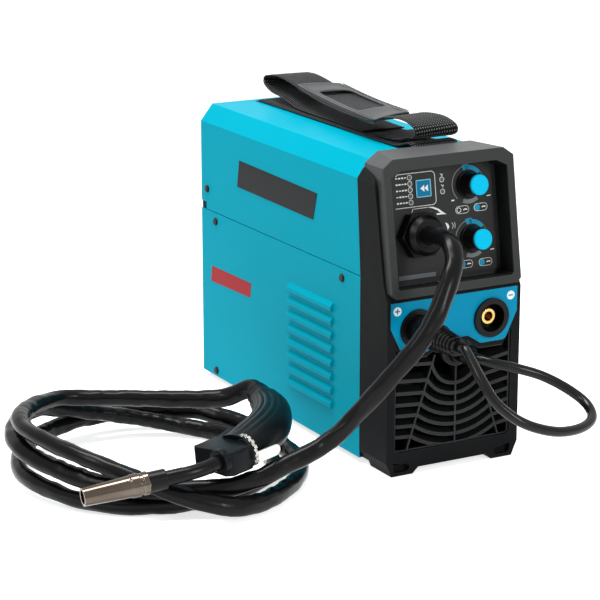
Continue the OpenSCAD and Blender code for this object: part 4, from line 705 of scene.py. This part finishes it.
def pad_frame():
    """Moulded shoulder pad: two end plates and two rails with turned down edges round a window."""
    verts, faces, index = [], [], {}

    def vert(i, j, low):
        if (i, j, low) not in index:
            index[i, j, low] = len(verts)
            verts.append(pad_point(i, j, low))
        return index[i, j, low]

    def solid(i, j):
        window = 5 <= i <= 8 and 5 <= j <= 10
        return 0 <= i < len(PAD_U) - 1 and 0 <= j < len(PAD_V) - 1 and not window

    for i, j in ((i, j) for i in range(len(PAD_U) - 1) for j in range(len(PAD_V) - 1) if solid(i, j)):
        q = [(i, j), (i + 1, j), (i + 1, j + 1), (i, j + 1)]
        faces.append(tuple(vert(x, y, False) for x, y in q))
        faces.append(tuple(vert(x, y, True) for x, y in reversed(q)))
        for k, (di, dj) in enumerate(((0, -1), (1, 0), (0, 1), (-1, 0))):
            if not solid(i + di, j + dj):
                one, two = q[k], q[(k + 1) % 4]
                faces.append((vert(*two, False), vert(*one, False), vert(*one, True), vert(*two, True)))
    o = outward(piece("strap_pad_frame", verts, faces, MAT["webbing_grey"], slot="webbing_grey"))
    rounding = o.modifiers.new("round", "SUBSURF")
    rounding.levels = rounding.render_levels = 1
    return o


def bead_radius(i, s, a, at):
    return (0.55 if i not in (0, BEAD_CELLS) else 0.2) * MM


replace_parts(pad_frame(), "strap_pad")
# Thin beads stand along the pad's rims and its window's edges, in a lighter grey that is a painted highlight.
for k, (u, v0, v1) in enumerate(((-0.965, 0.02, 0.98), (-0.80, 0.05, 0.95), (0.965, 0.02, 0.98),
                                 (0.80, 0.05, 0.95))):
    stand = Vector((0, 0, 1.0 if abs(u) > 0.9 else 0.35))
    line = [(pad_at(u, v0 + (v1 - v0) * i / BEAD_CELLS) + stand) * MM for i in range(BEAD_CELLS + 1)]
    sweep("pad_bead_%d" % k, line, 8, bead_radius, RIM_HIGHLIGHT_GREY, side=(0, 0, 1), slot="webbing_grey")

# ---------------------------------------------------------------- inside the case
# Corners of the right-hand board's blocks: the board, then its connectors. Its capacitors lie across.
BOARD = ((48, -136, 53.7), (49.6, -20, 97))
CONNECTORS = (((49.7, -80, 66), (58, -52, 84)), ((39, -118, 60), (47.9, -96, 70)),
              ((42, -84, 62), (47.9, -44, 80)))
CAN_FROM, CAN_TO, CAN_Z, CAN_R, CAN_SIDES = 49.7, 62, 74, 7, 20
CAN_YS = (-112, -92, -40)
GREEN, BLACK = 0, 1


def corners(x0, y0, x1, y1, z, cut=0.0):
    """The four corners of a level rectangle, drawn in by the cut."""
    x0, y0, x1, y1 = x0 + cut, y0 + cut, x1 - cut, y1 - cut
    return [(x0, y0, z), (x1, y0, z), (x1, y1, z), (x0, y1, z)]


def control_board(name, side):
    """Board that stands on a heat sink behind the louvres, with its capacitors and connectors."""
    verts, faces, picks = [], [], []

    def add(points, sides, pick):
        made = tube_faces(len(points) // sides, sides, len(verts))
        verts.extend(Vector(p) * MM for p in points)
        faces.extend(made)
        picks.extend([pick] * len(made))

    def block(low, high, pick, cut=0.4):
        (x0, y0, z0), (x1, y1, z1) = low, high
        rings = ((z0, cut), (z0 + cut, 0), (z1 - cut, 0), (z1, cut))
        add([p for z, c in rings for p in corners(x0, y0, x1, y1, z, c)], 4, pick)

    block(*BOARD, GREEN)
    turns = [2 * math.pi * i / CAN_SIDES for i in range(CAN_SIDES)]
    for y in CAN_YS:
        add([(x, y + r * math.cos(a), CAN_Z + r * math.sin(a))
             for x, r in ((CAN_FROM, CAN_R), (CAN_TO - 1, CAN_R), (CAN_TO, CAN_R - 1)) for a in turns],
            CAN_SIDES, BLACK)
    for low, high in CONNECTORS:
        block(low, high, BLACK)
    if side < 0:
        verts = [Vector((-v.x, v.y, v.z)) for v in verts]
        faces = [f[::-1] for f in faces]
    return piece(name, verts, faces, MAT["board_green"], MAT["knob_black"], smooth=False, slot="board_green",
                 picks=picks)


control_board("control_board", 1)
control_board("output_board", -1)


def seam_flange():
    """Strip that the left side panel turns up behind the hood's seam."""
    x0, x1, y0, y1, z0, z1 = -68.76, -67.9, -128, 178.5, 163, 178
    verts = [Vector(p) * MM for z in (z0, z1) for p in corners(x0, y0, x1, y1, z)]
    return piece("seam_flange", verts, tube_faces(2, 4), MAT["case_paint"], smooth=False, slot="case_paint")


seam_flange()

# ---------------------------------------------------------------- printed marks
# In millimetres: how far above FACE the marks' v starts, the mode button's middle, and its height.
V_ZERO = 0.04
BUTTON_X, BUTTON_V, BUTTON_OUT = -16.5, 92.3, 1.4


def on_face(x, v, out):
    """A point of the leaning bezel in metres: x across, v up its face, out of its front plane."""
    return (FACE + Vector((x, 0, 0)) + (v + V_ZERO) * UP + out * WAY) * MM


def on_panel(x, v, out):
    return on_face(x, v, out - WELL)


def on_button(x, v, out):
    return on_face(x + BUTTON_X, v + BUTTON_V, out - WELL + BUTTON_OUT)


def on_front(x, z, out):
    return Vector((x, FRONT_Y - out, z)) * MM


def on_left(y, z, out):
    return Vector((LEFT_X - out, y, z)) * MM


def polar(x, v, r, a):
    return x + r * math.cos(a), v + r * math.sin(a)


def ring(x, v, r0, r1, a0=0.0, a1=360.0):
    """Quads of a flat ring round (x, v) between two angles in degrees, counted from the right."""
    k = max(2, round(40 * (a1 - a0) / 360))
    at = [math.radians(a0 + (a1 - a0) * i / k) for i in range(k + 1)]
    return [[polar(x, v, r, a) for r, a in ((r0, p), (r1, p), (r1, q), (r0, q))] for p, q in zip(at, at[1:])]


def disc(x, v, r, n=32):
    return [[polar(x, v, r, 2 * math.pi * i / n) for i in range(n)]]


def stroke(pts, w):
    """Quads of a line of width w through the points."""
    out = []
    for (ax, av), (bx, bv) in zip(pts, pts[1:]):
        d = math.hypot(bx - ax, bv - av)
        nx, nv = -(bv - av) / d * w / 2, (bx - ax) / d * w / 2
        out.append([(ax + nx, av + nv), (ax - nx, av - nv), (bx - nx, bv - nv), (bx + nx, bv + nv)])
    return out


def arc_points(x, v, r, a0, a1, n=8):
    return [polar(x, v, r, math.radians(a0 + (a1 - a0) * i / n)) for i in range(n + 1)]


def pill(x, v, long, high, w):
    """Outline of a capsule, drawn with a line of width w."""
    r = high / 2
    pts = arc_points(x + long / 2 - r, v, r, -90, 90) + arc_points(x - long / 2 + r, v, r, 90, 270)
    return stroke(pts + pts[:1], w)


def ink(name, shapes, place, mat, h=0.06):
    """Flat marks h mm thick, drawn as polygons on the face that place(u, v, out) gives."""
    verts, faces = [], []
    for poly in shapes:
        faces += tube_faces(2, len(poly), len(verts))
        verts += [place(u, v, 0.0) for u, v in poly] + [place(u, v, h) for u, v in poly]
    return piece(name, verts, faces, mat, smooth=False)


KNOBS = [(31, 91), (31, 42.4)]
LAMPS = [(-29.5, 103 - 5.5 * i) for i in range(5)] + [(3.8, 98), (3.8, 87.3)]
# Capsules under the knobs: middle, and whether a blue dot fills the left end.
PILLS = [(23.1, 68.9, False), (42.6, 69.4, True), (23.4, 19.9, True), (43.9, 19.6, True)]


def mode_marks():
    """Rounded frame round the mode lamps and button, rings round the lamps and dashes beside them."""
    marks = stroke([(-45.5, 76.8), (-8.4, 76.8)] + arc_points(-7.4, 80.8, 4, -90, 0) + [(-3.4, 102)]
                   + arc_points(-7.4, 102.6, 4, 0, 90) + [(-41.5, 106.6), (-43.6, 105)], 0.55)
    for x, v in LAMPS:
        marks += ring(x, v, 1.95, 2.4)
    for k in range(5):
        v = 103.2 - 5.5 * k
        for i in range(4):
            marks += stroke([(-44 + 3 * i, v), (-42 + 3 * i, v)], 1.3 if (i + k) % 3 else 0.9)
    return marks


def small_pictures():
    """Small pictures under the rounded frame, and a zigzag above each of the two right lamps."""
    marks = [[(-14, 75.2), (-7, 74.8), (-1.5, 72.4), (3.4, 68.6), (6.4, 66.9), (-3.6, 67.2), (-4.4, 68.4),
              (0.2, 68.6), (-2.8, 71.2), (-8, 73.6)]]
    marks += stroke([(-29.2, 72.2), (-28.5, 74.8), (-11, 75.0)], 0.5)
    marks += [[(4.2, 59.6), (7.2, 58.2), (8.4, 55.2), (6.4, 52.4), (5.8, 55.6)]]
    for k in range(2):
        marks += stroke([(11.2 + 2.8 * k, 58.6), (12.6 + 2.0 * k, 56.2), (11.4 + 2.6 * k, 53.2)], 0.45)
    for x, v in ((3.6, 102.2), (3.9, 92.4)):
        marks += stroke([(x - 1.2, v + 1.1), (x + 0.2, v - 0.4), (x + 1.2, v + 0.9), (x + 0.4, v - 1.5)], 0.5)
    return marks


def dial_marks():
    """Dashes beside the knobs, the capsules with a short wavy line in each, and a ring in the first."""
    marks = []
    for x, v in KNOBS:
        marks += stroke([(x - 18.6, v - 12.9), (x - 15.6, v - 12.7)], 1.2)
        marks += stroke([(x + 19.0, v - 12.3), (x + 23.0, v - 12.1)], 0.8)
    for x, v, _ in PILLS:
        marks += pill(x, v, 14, 6.6, 0.4)
        marks += stroke([(x + 1.2, v - 0.3), (x + 3.0, v + 0.4), (x + 5.2, v - 0.1)], 1.1)
    return marks + ring(PILLS[0][0] - 3.6, PILLS[0][1], 1.8, 2.4)


blue = [q for x, v, filled in PILLS if filled for q in disc(x - 3.7, v, 3.0)]
grey = []
for x, v in KNOBS:
    blue += ring(x, v, 13.2, 17.2, 38, 96) + ring(x, v, 13.2, 18.4, 86, 108)
    grey += ring(x, v, 16.4, 17.3, 108, 225) + ring(x, v, 16.8, 17.3, 14, 38)
    grey += ring(x, v, 13.6, 17.3, 246, 304)
ink("panel_marks", mode_marks() + small_pictures() + dial_marks(), on_panel, INK_WHITE)
ink("dial_bands_blue", blue, on_panel, INK_BLUE, 0.05)
ink("dial_bands_grey", grey, on_panel, INK_GREY, 0.05)
ink("panel_band", [[(-47.5, 13.2), (-9, 13.2), (-9, 16.9), (-47.5, 17.2)]], on_panel, INK_BAND, 0.08)
ink("button_rim", stroke([(-7.4, -7.4), (7.4, -7.4), (7.4, 7.4), (-7.4, 7.4), (-7.4, -7.4)], 0.8),
    on_button, BUTTON_EDGE, 0.08)
ink("button_arrows", [[(-3.4, 0), (0.7, -3.1), (0.7, 3.1)], [(0.9, 0), (4.6, -3.1), (4.6, 3.1)]],
    on_button, INK_WHITE, 0.1)
for name in ("button_rim", "button_arrows"):
    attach(bpy.data.objects[name], "mode_key")

# Plus and minus discs at the top corners of the socket plate.
ink("polarity_discs", disc(-59.6, 147.3, 4.1) + disc(59.4, 147.0, 4.1), on_front, INK_WHITE, 0.08)
ink("polarity_signs", stroke([(-62.2, 147.3), (-57.0, 147.3)], 1.3)
    + stroke([(-59.6, 149.9), (-59.6, 144.7)], 1.3) + stroke([(56.8, 147.0), (62.0, 147.0)], 1.3),
    on_front, INK_BLUE, 0.12)

# Bare plates on the left side, where the product has its lettering.
ink("side_plate_dark", [[(98, 232.3), (102.7, 205.7), (-48.6, 203.9), (-56, 229.8)]], on_left,
    LABEL_DARK, 0.4)
ink("side_plate_red", [[(158.9, 113.8), (161.5, 97.7), (77, 100), (74.7, 114.7)]], on_left,
    LABEL_RED, 0.3)

# ---------------------------------------------------------------- floor and light
# The floor reaches 30 m each way, and its plane lies 0.2 mm below the feet.
FLOOR_HALF, FLOOR_UNDER = 30, 0.2
FLOOR_GLOW, FLOOR_BOUNCE = 0.72, 0.12
SKY, SKY_LIGHT = (0.93, 0.96, 1, 1), 0.25
BACKDROP_LIGHT = 1.05
WHITE = (1, 1, 1, 1)


def either(t, fac, one, two):
    """The first shader where the factor is 0, and the second where it is 1."""
    n = node(t, "ShaderNodeMixShader")
    for socket, value in zip(n.inputs, (fac, one, two)):
        t.links.new(value, socket)
    return n.outputs[0]


def floor_look():
    """White that glows of itself, and less so where it lights the machine."""
    m = bpy.data.materials.new("floor")
    m.use_nodes = True
    t = m.node_tree
    t.nodes.clear()
    diffuse = node(t, "ShaderNodeBsdfDiffuse", in_Color=(0.92, 0.92, 0.92, 1))
    glow = node(t, "ShaderNodeEmission", in_Color=WHITE, in_Strength=FLOOR_GLOW)
    bounce = node(t, "ShaderNodeEmission", in_Color=WHITE, in_Strength=FLOOR_BOUNCE)
    lit_by = node(t, "ShaderNodeLightPath").outputs["Is Diffuse Ray"]
    both = node(t, "ShaderNodeAddShader")
    t.links.new(diffuse.outputs[0], both.inputs[0])
    t.links.new(either(t, lit_by, glow.outputs[0], bounce.outputs[0]), both.inputs[1])
    node(t, "ShaderNodeOutputMaterial", in_Surface=both.outputs[0])
    return m


def floor():
    """The white ground under the machine, which is staging."""
    z = (FLOOR - FLOOR_UNDER) * MM
    me = bpy.data.meshes.new("floor")
    me.from_pydata(corners(-FLOOR_HALF, -FLOOR_HALF, FLOOR_HALF, FLOOR_HALF, z), [], [(0, 1, 2, 3)])
    me.materials.append(floor_look())
    o = bpy.data.objects.new("floor", me)
    bpy.context.scene.collection.objects.link(o)


def backdrop():
    """A world that looks white, also in reflections, and lights the scene as a pale sky."""
    world = bpy.data.worlds.new("world")
    bpy.context.scene.world = world
    world.use_nodes = True
    t = world.node_tree
    t.nodes.clear()
    sky = node(t, "ShaderNodeBackground", in_Color=SKY, in_Strength=SKY_LIGHT)
    white = node(t, "ShaderNodeBackground", in_Color=WHITE, in_Strength=BACKDROP_LIGHT)
    rays = node(t, "ShaderNodeLightPath").outputs
    mirrored = maths(t, "MAXIMUM", rays["Is Glossy Ray"], rays["Is Transmission Ray"])
    seen = maths(t, "MAXIMUM", rays["Is Camera Ray"], mirrored)
    node(t, "ShaderNodeOutputWorld", in_Surface=either(t, seen, sky.outputs[0], white.outputs[0]))


def area(name, at, to, size, power):
    """A rectangular lamp at one point that faces another."""
    d = bpy.data.lights.new(name, "AREA")
    d.shape, d.size, d.size_y, d.energy = "RECTANGLE", size[0], size[1], power
    o = bpy.data.objects.new(name, d)
    o.location = at
    o.rotation_euler = (Vector(to) - Vector(at)).to_track_quat("-Z", "Y").to_euler()
    bpy.context.scene.collection.objects.link(o)


floor()
backdrop()
area("top", (-0.3, 0.1, 1.7), (0, 0, 0.1), (0.6, 1.0), 33)
area("left", (-1.5, -0.5, 1.35), (0, 0, 0.15), (0.25, 0.9), 8)
area("front", (0.5, -2.0, 0.9), (0, -0.1, 0.15), (0.25, 0.8), 17)

bpy.context.scene.view_settings.view_transform = "Standard"
